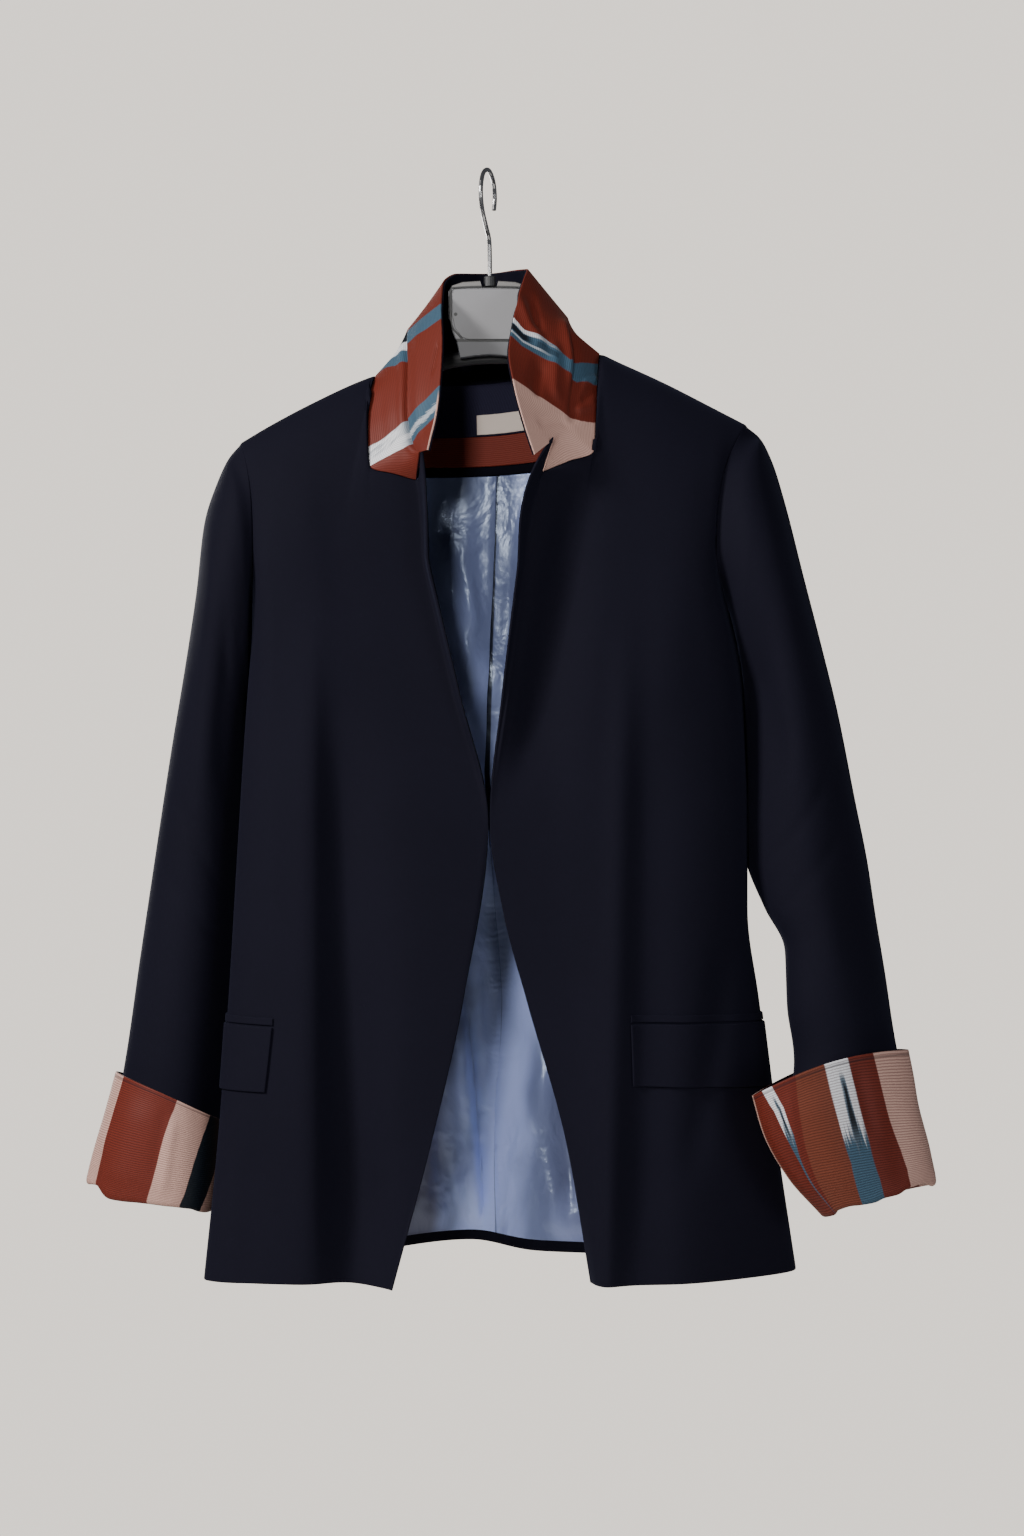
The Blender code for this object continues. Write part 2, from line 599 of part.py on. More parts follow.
# Inside of the back neck, by v on the back panel: facing, band, edging, then the satin.
NECK_V = (0.012, 0.0769, 0.0978, 0.1035)
NECK_U = (0.385, 0.615)
LABEL_V = (0.0589, 0.0755)
LABEL_U = (0.487, 0.545)
SATIN_FOOT = 0.985
SATIN_U = 0.06  # the lining's distance in u from the side seams
BACK_V = lines(
    0, NECK_V, 0.02, 0.04, LABEL_V, 0.127, CHEST, 0.2, 0.265, UNDERARM,
    0.40, 0.46, 0.56, 0.66, 0.74, 0.82, 0.91, SATIN_FOOT, 1,
)
BACK_U = lines(
    0, 0.03, SATIN_U, 0.10, 0.17, 0.24, 0.31, 0.36, NECK_U, 0.41, 0.45, LABEL_U, 0.5,
    0.55, 0.59, 0.64, 0.70, 0.76, 0.83, 0.90, 0.94, 0.97, 1,
)


def fronts():
    for side, surface, u, flap_u, sign in (
        ("right", front_right, RIGHT_U, FLAP_RIGHT_U, 1),
        ("left", front_left, LEFT_U, FLAP_LEFT_U, -1),
    ):
        grid = surface(u, FRONT_V)
        n = normals(grid)
        corner = CORNER_GAP * peak(u, CORNER_U, CORNER_REACH)
        cut = inset(grid, top=TOP_GAP + corner, last=side_gap(FRONT_V))
        wall(f"front_{side}", cut, n, 0, -SHELL, sign)
        under, over = -SHELL - GAP, GAP
        down, across = between(FRONT_V, *FACING_V), between(u, *FACING_U)
        wall(f"facing_{side}", grid[down, across], n[down, across], under, under - FACING, sign)
        down, across = between(FRONT_V, *FLAP_V), between(u, *flap_u)
        wall(f"flap_{side}", grid[down, across], n[down, across], over + FLAP, over, sign)
        down = between(FRONT_V, *WELT_V)
        wall(f"welt_{side}", inset(grid[down, across], foot=GAP), n[down, across], over + WELT, over, sign)


def backs():
    grid = back(BACK_U, BACK_V)
    n = normals(grid)
    sign = 1
    cut = inset(grid, top=TOP_GAP, first=side_gap(BACK_V), last=side_gap(BACK_V))
    wall("back", cut, n, 0, -SHELL, sign)
    under = -SHELL - GAP
    across = between(BACK_U, *NECK_U)
    for name, low, high in (("neck_facing", 0, 1), ("neck_band", 1, 2), ("neck_edging", 2, 3)):
        down = between(BACK_V, NECK_V[low], NECK_V[high])
        piece = inset(grid[down, across], top=GAP / 2, foot=GAP / 2)
        wall(name, piece, n[down, across], under, under - FACING, sign)
    down, tight = between(BACK_V, *LABEL_V), between(BACK_U, *LABEL_U)
    over = under - FACING - GAP
    wall("label", grid[down, tight], n[down, tight], over, over - TAPE, sign)
    down = between(BACK_V, NECK_V[3], SATIN_FOOT)
    for side, low, high in (("right", SATIN_U, 0.5), ("left", 0.5, 1 - SATIN_U)):
        across = between(BACK_U, low, high)
        piece = inset(grid[down, across], top=GAP / 2, first=GAP / 2, last=GAP / 2)
        wall(f"lining_{side}", piece, n[down, across], under, under - SATIN, sign)


CUFFED = (0.84, 0.88, 0.92, 0.96, 1)  # sleeve rows that the turn-back lines
AROUND = np.arange(22) / 22  # turns round a sleeve or cuff


def sleeves():
    v = lines(0, 0.025, 0.05, 0.10, 0.16, 0.24, 0.32, 0.42, 0.52, 0.62, 0.73, CUFFED)
    for side, rows, cuff_rows, front, back_u in (
        ("right", SLEEVE_RIGHT, CUFF_RIGHT, front_right, 0.0),
        ("left", SLEEVE_LEFT, CUFF_LEFT, front_left, 1.0),
    ):
        sign = 1 if side == "left" else -1
        grid = inset(sleeve(rows, cuff_rows, front, back_u, AROUND, v), top=TURNED + GAP)
        wall(f"sleeve_{side}", grid, normals(grid, True), 0, -SHELL, sign, closed=True)


def cuffs():
    """Down the outside from the rim, round the fold, and up inside the sleeve."""
    for side, rows, sleeve_rows, front, back_u in (
        ("right", CUFF_RIGHT, SLEEVE_RIGHT, front_right, 0.0),
        ("left", CUFF_LEFT, SLEEVE_LEFT, front_left, 1.0),
    ):
        sign = 1 if side == "left" else -1
        outside = smooth(rows["v"], ring(rows, AROUND), [0, 0.25, 0.5, 0.75, 1])
        tube = sleeve(sleeve_rows, rows, front, back_u, AROUND, np.array(CUFFED))
        inner = (tube - normals(tube, True) * sign * (SHELL + GAP + CUFF_CLOTH / 2))[::-1]
        along = outside[-1] - outside[-2]
        along /= np.linalg.norm(along, axis=-1, keepdims=True)
        low = (outside[-1] + inner[0]) / 2 + along * FOLD_DROP
        grid = np.concatenate([outside, low[None], inner])
        half = CUFF_CLOTH / 2
        wall(f"cuff_{side}", grid, normals(grid, True), half, -half, sign, closed=True)


TIP_GAP = 4.2  # what the collar's ends stand back from the lapel tips, which they lie beside
SEAM_GAP = 1.9  # how far the collar's foot stands off the neck seam


def collars():
    s = lines(0, 0.03, 0.06, 0.09, 0.12, 0.15, 0.18, 0.23, 0.29, 0.33, 0.37, 0.40, 0.43, 0.465)
    s = lines(s, 0.5, 1 - s)
    t = np.array([0, 0.19, CREASE - 0.03, CREASE + 0.03, 0.55, 0.78, 1])
    grid = collar(s, t)
    n = normals(grid)
    corner = COLLAR_CORNER_GAP * peak(abs(s - 0.5), COLLAR_CORNER, COLLAR_REACH)
    cut = inset(grid, first=SEAM_GAP + corner, top=TIP_GAP, foot=TIP_GAP)
    wall("collar_under", cut, n, 0, -COLLAR_CLOTH, 1)
    near = -COLLAR_CLOTH - GAP
    wall("collar_top", cut, n, near, near - COLLAR_CLOTH, 1)


# Hanger: the hook's wire, a ferrule, a neck plate and two arms.
WIRE = 3.5
WIRE_SIDES, WIRE_RINGS = 10, 34
ARM_SIDES = 12
FERRULE_SIDES = 16
HOOK_TURN = math.radians(16)  # how far the hook's plane is swivelled from facing sideways
STEM = (1.4, 0.0)  # x and y of the wire where it enters the plate
FERRULE = ((3.9, -82.4), (4.7, -83.2), (4.7, -90.4))  # radius and z from top to foot
HOOK = table(
    """
    point x y z
    tip 4.6 17.5 -27.0
    back_low 5.3 19.0 -18.3
    back_high 4.2 14.4 -5.4
    over 0.6 1.5 1.7
    front_high -3.8 -13.2 -3.6
    bulge -5.5 -19.2 -17.0
    front_low -4.6 -17.4 -31.0
    swing -1.6 -9.5 -44.0
    meet 0.9 -1.2 -53.5
    stem 1.4 0 -66.0
    foot 1.4 0 -88.5
    """
)
# The arms' bar from end to end; its top lies under the shoulder seams.
ARM = table(
    """
    station x y z tall deep
    end_right -184 0 -216.2 8 18
    out_right -176 0 -212.0 11 24
    blade_right -150 0 -198.8 14 24
    slope_right -115 0 -181.8 14 18
    inner_right -88 1 -171.0 13 13
    neck_right -60 5.5 -159.5 12 10
    plate_right -26 8.6 -147.5 12 9
    centre 1 8.6 -144.6 12 9
    plate_left 28 8.6 -144.6 12 9
    neck_left 60 5.5 -148.8 12 10
    inner_left 90 1 -155.2 13 13
    slope_left 117 0 -166.5 14 18
    blade_left 152 0 -183.5 14 24
    out_left 180 0 -197.5 11 24
    end_left 188 0 -201.7 8 18
    """
)


ARM_RINGS = np.concatenate([[-184, -180, -176], np.linspace(-163, 167, 23), [180, 184, 188]])


def sweep(name, centres, across, upward, sides):
    """A closed bar: at each centre an ellipse of half-sizes across and upward, with flat ends."""
    a = 2 * math.pi * np.arange(sides)[:, None] / sides
    rings = centres[:, None] + across[:, None] * np.cos(a) + upward[:, None] * np.sin(a)
    n = len(centres)
    faces = []
    for i in range(n - 1):
        for j in range(sides):
            k = (j + 1) % sides
            faces.append([i * sides + j, i * sides + k, (i + 1) * sides + k, (i + 1) * sides + j])
    faces.append(list(range(sides))[::-1])
    faces.append([(n - 1) * sides + j for j in range(sides)])
    turned = np.dot(np.cross(across[0], upward[0]), centres[1] - centres[0]) < 0
    return solid(name, rings.reshape(-1, 3), [face[::-1] for face in faces] if turned else faces)


def hanger():
    """The hook's wire follows its tabled points; its section turns with the swivelled plane."""
    points = np.stack([HOOK["x"], HOOK["y"], HOOK["z"]], axis=1)
    run = np.concatenate([[0], np.cumsum(np.linalg.norm(np.diff(points, axis=0), axis=1))])
    at = np.linspace(0, run[-1], WIRE_RINGS)
    line = natural(run, points, at)
    tangent = np.gradient(line, axis=0)
    tangent /= np.linalg.norm(tangent, axis=1, keepdims=True)
    flat = np.array([math.cos(HOOK_TURN), -math.sin(HOOK_TURN), 0])
    side = np.cross(tangent, flat)
    side /= np.linalg.norm(side, axis=1, keepdims=True)
    other = np.cross(tangent, side)
    sweep("hanger_hook", line, side * WIRE / 2, other * WIRE / 2, WIRE_SIDES)
    cup("hanger_ferrule", STEM, WIRE / 2 + GAP, FERRULE, FERRULE_SIDES)
    plate("hanger_plate")
    arms("hanger_arms")


def natural(knots, values, at):
    """Catmull-Rom cubic through values at knots."""
    slope = np.gradient(values, knots, axis=0)
    k = np.clip(np.searchsorted(knots, at, side="right") - 1, 0, len(knots) - 2)
    h = np.diff(knots)[k][:, None]
    t = ((at - knots[k]) / np.diff(knots)[k])[:, None]
    return (
        (1 + 2 * t) * (1 - t) ** 2 * values[k] + t * (1 - t) ** 2 * h * slope[k]
        + t**2 * (3 - 2 * t) * values[k + 1] - t**2 * (1 - t) * h * slope[k + 1]
    )


def cup(name, centre, bore, profile, sides):
    """A turned ring: the bore, and the outside through (radius, z) rows from top to foot."""
    a = 2 * math.pi * np.arange(sides) / sides
    rows = [(bore, profile[0][1]), *profile, (bore, profile[-1][1])]
    spin = np.stack([np.cos(a), np.sin(a)], axis=1)
    points = [[*(centre + r * turn), z] for r, z in rows for turn in spin]
    faces = []
    n = len(rows)
    for i in range(n):
        for j in range(sides):
            k, m = (j + 1) % sides, (i + 1) % n
            faces.append([i * sides + j, m * sides + j, m * sides + k, i * sides + k])
    return solid(name, points, faces)


PLATE = table(
    """
    corner x z
    notch_mid 1 -91.0
    notch_low 6.9 -91.0
    notch_top 8.2 -86.7
    top_side 22 -87.6
    shoulder 30.5 -90.5
    side_high 33.0 -95.0
    side_mid 33.0 -116.0
    side_low 31.0 -124.0
    side_foot 26.5 -136.0
    foot 24.0 -147.6
    arch_side 12 -145.8
    arch_mid 1 -145.0
    """
)
PANEL = table(
    """
    corner x z
    top_mid 1 -92.6
    top_in 6.0 -92.6
    top_next 8.0 -92.6
    top_side 22 -92.6
    shoulder 29.0 -93.2
    side_high 30.8 -96.0
    side_mid 30.4 -116.0
    side_low 28.5 -124.0
    side_foot 23.5 -131.0
    foot 17.0 -133.8
    arch_side 9 -133.8
    arch_mid 1 -133.8
    """
)


# The plate's skin: rows on its rim (0) or on its panel (1), at a depth y, moved outwards by grow.
PLATE_SKIN = table(
    """
    row of y grow
    back_face 0 3.4 -0.8
    back_edge 0 2.6 0
    front_edge 0 -4.2 0
    front_face 0 -5.0 -0.8
    groove_rim 1 -5.0 0.6
    groove_out 1 -3.8 0.3
    groove_in 1 -3.8 -0.6
    panel_edge 1 -4.6 -0.9
    """
)
PLATE_MIDDLE = (1.0, -115.0)  # x and z


def outline(rows):
    """Right half as tabled, left half mirrored about the plate's middle, as one loop (n, 2)."""
    half = np.stack([rows["x"], rows["z"]], axis=1)
    other = half[1:-1][::-1].copy()
    other[:, 0] = 2 * half[0, 0] - other[:, 0]
    return np.concatenate([half, other])


def plate(name):
    """Outline walls from the back face to the front lip, then a groove round a raised panel."""
    loops = []
    for of, y, grow in zip(PLATE_SKIN["of"], PLATE_SKIN["y"], PLATE_SKIN["grow"]):
        line = outline(PANEL if of else PLATE)
        away = line - PLATE_MIDDLE
        line = line + away / np.linalg.norm(away, axis=1, keepdims=True) * grow
        loops.append(np.insert(line, 1, y, axis=1))
    n = len(loops[0])
    caps = [np.insert(PLATE_MIDDLE, 1, y) for y in PLATE_SKIN["y"][[0, -1]]]
    points = np.concatenate([*loops, caps])
    faces = []
    for i in range(len(loops) - 1):
        for j in range(n):
            k = (j + 1) % n
            faces.append([i * n + k, i * n + j, (i + 1) * n + j, (i + 1) * n + k])
    last = (len(loops) - 1) * n
    for j in range(n):
        k = (j + 1) % n
        faces.append([j, k, len(loops) * n])
        faces.append([last + k, last + j, len(loops) * n + 1])
    return solid(name, points, quads(faces))


def quads(faces):
    """Triangles of a list of triangles and quads."""
    out = []
    for f in faces:
        out.append(f[:3])
        if len(f) == 4:
            out.append([f[0], f[2], f[3]])
    return out


def arms(name):
    """One bar from arm end to arm end, behind the plate and under both shoulders."""
    rows = np.stack([ARM[c] for c in ("x", "y", "z", "tall", "deep")], axis=1)
    bar = smooth(ARM["x"], rows, ARM_RINGS)
    deep, tall = np.zeros((2, len(bar), 3))
    deep[:, 1] = bar[:, 4] / 2
    tall[:, 2] = bar[:, 3] / 2
    sweep(name, bar[:, :3], deep, tall, ARM_SIDES)


for old in list(bpy.data.objects):
    bpy.data.objects.remove(old, do_unlink=True)
fronts()
backs()
sleeves()
cuffs()
collars()
hanger()
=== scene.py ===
"""A women's open blazer on a hanger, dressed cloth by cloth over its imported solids.

Lengths are millimetres while a surface is worked out and metres in Blender. +Z is up, +X the
wearer's left, +Y the wearer's back; the origin is the inner top of the hanger's hook.
"""
import math
from functools import cache
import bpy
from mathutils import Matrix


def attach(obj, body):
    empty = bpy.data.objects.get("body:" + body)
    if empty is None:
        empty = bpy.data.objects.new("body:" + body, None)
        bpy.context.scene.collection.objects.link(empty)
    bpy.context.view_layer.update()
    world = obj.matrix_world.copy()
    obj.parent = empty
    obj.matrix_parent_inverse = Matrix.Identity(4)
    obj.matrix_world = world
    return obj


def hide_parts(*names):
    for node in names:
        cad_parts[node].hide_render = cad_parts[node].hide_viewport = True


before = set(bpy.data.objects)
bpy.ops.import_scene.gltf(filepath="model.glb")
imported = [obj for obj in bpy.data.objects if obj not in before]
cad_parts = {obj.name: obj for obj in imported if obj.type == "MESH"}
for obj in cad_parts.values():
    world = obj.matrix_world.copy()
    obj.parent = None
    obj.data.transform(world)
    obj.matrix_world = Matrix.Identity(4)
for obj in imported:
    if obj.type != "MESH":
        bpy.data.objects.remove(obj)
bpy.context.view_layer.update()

from types import SimpleNamespace

import bpy
import numpy as np
from bpy.props import FloatProperty, FloatVectorProperty, PointerProperty

bl_info = {
    "name": "Open blazer",
    "version": (1, 0, 0),
    "blender": (4, 5, 0),
    "location": "View3D > Sidebar > Blazer",
    "description": "Sews the cloth of an open-front blazer over its solids and hangs it up",
    "category": "Object",
}

MM = 0.001


def colour(name, about, value):
    """A colour a user may change, in linear light."""
    return FloatVectorProperty(
        name=name, description=about, default=value, size=3, min=0, soft_max=1, subtype="COLOR"
    )


def length(name, about, value):
    """A length a user may change, in metres."""
    return FloatProperty(
        name=name, description=about, default=value, min=0, unit="LENGTH", subtype="DISTANCE"
    )


def power(name, about, value):
    """A light's power a user may change, in watts."""
    return FloatProperty(name=name, description=about, default=value, min=0, unit="POWER")


class BlazerCloth(bpy.types.PropertyGroup):
    """Thicknesses and colours of the blazer's cloths."""

    shell: length("Shell cloth", "Thickness of fronts, back and sleeves with their interlining", 0.002)
    collar_layer: length("Collar layer", "Thickness of each of the collar's two layers", 0.0013)
    cuff_layer: length("Cuff cloth", "Thickness of the turned-back cuff", 0.0016)
    satin: length("Satin", "Thickness of the lining", 0.001)
    seam: length("Seam gap", "What two sewn pieces stand apart", 0.0002)
    navy: colour("Navy", "Shell cloth", (0.0047, 0.0044, 0.0096))
    brick: colour("Brick", "Ground of the striped silk", (0.128, 0.0165, 0.0085))
    rust: colour("Rust", "Ribbed stripe of the cuff", (0.150, 0.036, 0.018))
    pink: colour("Pink", "Broad pale stripe", (0.520, 0.320, 0.265))
    white: colour("White", "Warp-dyed stripe where it is left pale", (0.700, 0.710, 0.740))
    steel: colour("Steel blue", "Warp-dyed stripe where it is dyed", (0.042, 0.090, 0.138))
    teal: colour("Dark teal", "Darkest stripe", (0.0030, 0.0068, 0.0125))
    satin_blue: colour("Satin blue", "Lining", (0.335, 0.405, 0.750))
    cream: colour("Cream", "Woven label", (1.0, 0.850, 0.750))


class BlazerStage(bpy.types.PropertyGroup):
    """Light and floor of the studio."""

    key: power("Key light", "Power of the light at the upper left", 225.0)
    front: power("Front light", "Power of the light above the camera, to its left", 62.0)
    fill: power("Fill light", "Power of the light at the right", 38.0)
    rim: power("Back light", "Power of the light behind", 55.0)
    floor: length("Floor", "How far the floor lies below the hook", 1.75)
    wall: colour("Surround", "Colour of the studio round the blazer", (1.38, 1.28, 1.16))


# ---- shapes, from the same named tables as the solids ------------------------------------------

SIDES = ("right", "left")
WAY = {"right": -1, "left": 1}  # the sign of x on each side
SHELL, FACING, FLAP, WELT, TAPE, CUFF_CLOTH = 2.0, 1.2, 2.0, 1.2, 1.0, 1.6  # thicknesses
GAP = 0.3  # what two layers stand apart
CHEST, UNDERARM = 0.15, 0.33  # v where a panel's upper part ends, and at the foot of the armhole
EDGE_ZONE = 0.12  # the part of a front's u by each border that follows it
SLEEVE_ENDS = (0.92, 1)  # v of a sleeve's two rings inside the cuff, which follow the cuff's at CUFF_RINGS
CUFF_RINGS = (0.5, 0.92)
CUFF_EASE, FOLD_EASE = 8.5, 2.4  # how far these two rings lie inside the cuff
FOLD_DROP = 6.0  # how far a cuff's fold hangs below its two layers
CREASE = 0.38  # the collar's t at its crease
COLLAR_LONG, COLLAR_WIDE = 480.0, 80.0  # the collar's rounded size, for the folds pressed into it
TINY = 1e-9


def table(text):
    """Columns by name, from a block of rows or several side by side; the first word names the row."""
    found = {}
    for block in text.strip().split("\n\n"):
        names, *rows = (line.split()[1:] for line in block.splitlines())
        found |= dict(zip(names, np.array(rows, float).T))
    return found


def each(rows):
    """The rows of a table one by one, with its columns as attributes."""
    return [SimpleNamespace(**dict(zip(rows, values))) for values in zip(*rows.values())]


TOP_RIGHT = table("""
point u x y z
tip 0 -50.9 -84 -227.3
gorge 0.05 -53.5 -62 -249.3
gorge_mid 0.16 -72.0 -61 -244.2
corner 0.26 -90.8 -57 -238.4
neck_low 0.34 -92.9 -46 -208.7
neck_mid 0.4 -93.2 -26 -180.8
neck 0.46 -88.9 0 -160.7
neck_out 0.52 -101.1 0 -165.2
shoulder_mid 0.7 -136.7 0 -181.7
shoulder_out 0.89 -173.8 0 -201.4
shoulder 1 -195.1 0 -214.1
""")
TOP_LEFT = table("""
point u x y z
tip 0 51.0 -84 -218.9
gorge 0.05 42.1 -62 -243.1
gorge_mid 0.16 62.1 -62 -234.7
corner 0.26 82.2 -58 -226.6
neck_low 0.34 84.3 -46 -199.4
neck_mid 0.4 86.0 -26 -169.0
neck 0.46 88.9 0 -143.7
neck_out 0.52 101.1 0 -149.3
shoulder_mid 0.7 139.0 0 -166.6
shoulder_out 0.89 180.1 0 -187.6
shoulder 1 203.8 0 -199.8
""")
FRONT_STATIONS = {"edge": 0, "roll": 0.05, "a": 0.26, "b": 0.44, "c": 0.62, "d": 0.77, "e": 0.87, "seam": 1}
LEVELS_RIGHT = table("""
level v z_edge z_b z_seam
chest 0.15 -312 -311 -310
underarm 0.33 -419 -420 -421
waist 0.46 -514 -515 -516
pocket 0.66 -648 -648 -651
hip 0.82 -755 -755 -760
hem 1 -870 -865 -869

level x_edge x_roll x_a x_b x_c x_d x_e x_seam
chest -47 -49 -84 -115 -144 -168 -177 -182
underarm -21 -25 -63 -99 -138 -170 -188 -188
waist 1 -3 -45 -90 -138 -176 -194 -190
pocket -18 -22 -57 -96 -142 -181 -202 -196
hip -42 -45 -76 -109 -149 -188 -210 -202
hem -73 -76 -99 -124 -163 -199 -221 -214

level y_edge y_roll y_a y_b y_c y_d y_e y_seam
chest -82 -64 -64 -63 -62 -58 -53 -47
underarm -80 -71 -71 -70 -66 -56 -34 8
waist -77 -77 -78 -76 -72 -60 -36 22
pocket -82 -82.5 -83 -80 -76 -64 -38 30
hip -84 -84 -84 -81 -78 -66 -40 33
hem -86 -86 -84 -81 -78 -66 -40 34
""")
LEVELS_LEFT = table("""
level v z_edge z_b z_seam
chest 0.15 -312 -311 -309
underarm 0.33 -419 -419 -419
waist 0.46 -514 -515 -516
high_hip 0.56 -581 -581 -583
pocket 0.66 -649 -648 -651
hip 0.82 -757 -754 -760
hem 1 -867 -866 -862

level x_edge x_roll x_a x_b x_c x_d x_e x_seam
chest 25 32 64 96 129 159 171 177
underarm 12 17 50 86 129 172 198 203
waist 2 6 44 85 132 177 203 197
high_hip 12 16 51 88 134 179 203 202
pocket 30 34 62 94 138 184 212 207
hip 60 62 77 95 138 193 226 217
hem 79 80 84 95 141 204 242 233

level y_edge y_roll y_a y_b y_c y_d y_e y_seam
chest -82 -66 -63 -64 -63 -58 -53 -46
underarm -80 -71 -68 -74 -74 -62 -36 8
waist -77 -77 -78 -82 -80 -66 -34 22
high_hip -76.5 -77 -79.5 -84 -82 -66 -33 26
pocket -74 -75 -80 -86 -84 -66 -32 30
hip -68 -70 -80 -87 -85 -64 -28 33
hem -60 -64 -78 -88 -87 -60 -22 34
""")
TOP_BACK = table("""
point u x y z
shoulder_right 0 -195.1 0 -214.1
out_right 0.1 -173.8 0 -201.4
mid_right 0.24 -136.7 0 -181.7
nout_right 0.33 -101.1 0 -165.2
neck_right 0.36 -88.9 0 -160.7
turn_right 0.41 -68.3 34 -160.1
side_right 0.45 -39.1 54 -160.1
centre 0.5 0.4 60 -158.1
side_left 0.55 41.6 54 -151.2
turn_left 0.59 69.4 34 -144.1
neck_left 0.64 88.9 0 -143.7
nout_left 0.67 101.1 0 -149.3
mid_left 0.76 139.0 0 -166.6
out_left 0.9 180.1 0 -187.6
shoulder_left 1 203.8 0 -199.8
""")
BACK_STATIONS = {
    "seam_r": 0, "f_r": 0.06, "g_r": 0.14, "h_r": 0.27, "i_r": 0.40, "centre": 0.5,
    "i_l": 0.60, "h_l": 0.73, "g_l": 0.86, "f_l": 0.94, "seam_l": 1,
}
LEVELS_BACK = table("""
level v z_seam_r z_h_r z_centre z_h_l z_seam_l
chest 0.15 -310 -301 -301 -301 -309
underarm 0.33 -421 -414 -412 -413 -419
waist 0.46 -516 -513 -512 -513 -516
pocket 0.66 -651 -648 -644 -648 -651
hip 0.82 -760 -761 -754 -758 -760
hem 1 -869 -871 -861 -867 -862

level x_seam_r x_f_r x_g_r x_h_r x_i_r x_centre x_i_l x_h_l x_g_l x_f_l x_seam_l
chest -191 -185 -171 -120 -62 0 64 123 168 183 188
underarm -188 -186 -172 -122 -64 0 66 127 184 200 203
waist -190 -186 -172 -124 -66 0 66 127 180 193 197
pocket -196 -192 -178 -131 -69 0 68 131 185 201 207
hip -202 -197 -183 -138 -72 -7 43 127 190 210 217
hem -214 -209 -193 -145 -71 -15 40 124 198 224 233

level y_seam_r y_f_r y_g_r y_h_r y_i_r y_centre y_i_l y_h_l y_g_l y_f_l y_seam_l
chest 44 50 57 64 66 66 66 64 57 50 44
underarm 8 34 54 66 70 72 70 66 54 34 8
waist 22 44 62 74 78 78 76 74 62 44 22
pocket 30 52 70 84 92 90 84 80 70 52 30
hip 33 55 75 92 104 106 82 86 76 55 33
hem 34 57 78 98 114 124 74 88 80 57 34
""")
FOLDS_RIGHT = table("""
fold x_top z_top x_foot z_foot wide_top wide_foot deep_top deep_foot
ridge -155 -312 -134 -865 24 27 3 9
valley -130 -311 -108 -866 27 28 -3 -11
""")
FOLDS_LEFT = table("""
fold x_top z_top x_foot z_foot wide_top wide_foot deep_top deep_foot
ridge 112 -335 89 -864 28 16 3 5
trough 56 -265 25 -465 35 16 -6 -1
""")
FOLDS_BACK = table("""
fold x_top z_top x_foot z_foot wide_top wide_foot deep_top deep_foot
flute_right -89 -350 -112 -873 32 35 -2 -10
flute_left 99 -350 124 -873 32 35 -2 -10
""")
SLEEVE_RIGHT = table("""
ring v out_x out_y out_z front_x front_y front_z in_x in_y in_z back_x back_y back_z
cap1 0.05 -205 6 -225 -188 -53 -312 -191 11 -422 -200 55 -304
cap2 0.1 -216 8 -248 -197 -56 -324 -191 12 -427 -209 62 -317
cap3 0.16 -225 10 -276 -204 -54 -342 -191 12 -435 -216 66 -336
upper 0.24 -232 12 -334 -211 -48 -383 -191 12 -450 -220 68 -379
upper2 0.32 -241 12 -393 -216 -42 -430 -193 12 -476 -225 66 -428
elbow1 0.42 -251 12 -453 -220 -40 -476 -195 12 -512 -229 62 -476
elbow2 0.56 -265 12 -545 -228 -38 -558 -199 12 -580 -236 58 -561
fore 0.7 -277 10 -627 -236 -38 -636 -204 12 -653 -246 52 -642
wrist 0.82 -287 8 -698 -243 -37 -712 -212 10 -726 -252 48 -720
""")
SLEEVE_LEFT = table("""
ring v out_x out_y out_z front_x front_y front_z in_x in_y in_z back_x back_y back_z
cap1 0.05 215 6 -209 191 -54 -298 207 12 -421 200 55 -291
cap2 0.1 225 6 -228 202 -60 -310 206 13 -426 212 62 -302
cap3 0.16 235 6 -260 215 -62 -332 206 13 -433 224 64 -325
upper 0.24 249 4 -316 227 -62 -372 205 10 -449 236 62 -367
upper2 0.32 263 0 -372 235 -62 -418 204 4 -472 244 57 -416
elbow1 0.42 276 -4 -427 241 -64 -465 204 -4 -508 249 50 -464
elbow2 0.54 289 -10 -496 247 -67 -518 204 -14 -545 255 40 -521
elbow3 0.62 298 -15 -543 254 -71 -561 216 -28 -580 263 30 -564
fore 0.69 304 -20 -586 262 -75 -600 231 -38 -612 270 18 -604
fore2 0.77 311 -27 -633 268 -80 -643 232 -46 -655 277 4 -646
wrist 0.85 317 -32 -677 274 -84 -686 237 -52 -698 281 -14 -690
""")
CUFF_RIGHT = table("""
ring v out_x out_y out_z front_x front_y front_z in_x in_y in_z back_x back_y back_z
rim 0 -294 5 -711 -244 -52 -726 -210 4 -749 -254 60 -733
upper 0.35 -303 5 -744 -247 -50 -753 -211 4 -770 -258 58 -759
lower 0.72 -313 5 -778 -250 -47 -787 -214 4 -795 -262 51 -787
fold 1 -317 4 -795 -252 -44 -810 -217 4 -815 -265 48 -806
""")
CUFF_LEFT = table("""
ring v out_x out_y out_z front_x front_y front_z in_x in_y in_z back_x back_y back_z
rim 0 327 -36 -690 261 -108 -693 203 -82 -721 271 -4 -700
upper 0.35 336 -37 -734 269 -104 -731 212 -78 -751 279 -4 -739
lower 0.72 345 -38 -770 282 -97 -772 232 -70 -786 292 -4 -780
fold 1 348 -39 -790 296 -91 -799 257 -60 -814 307 -6 -805
""")
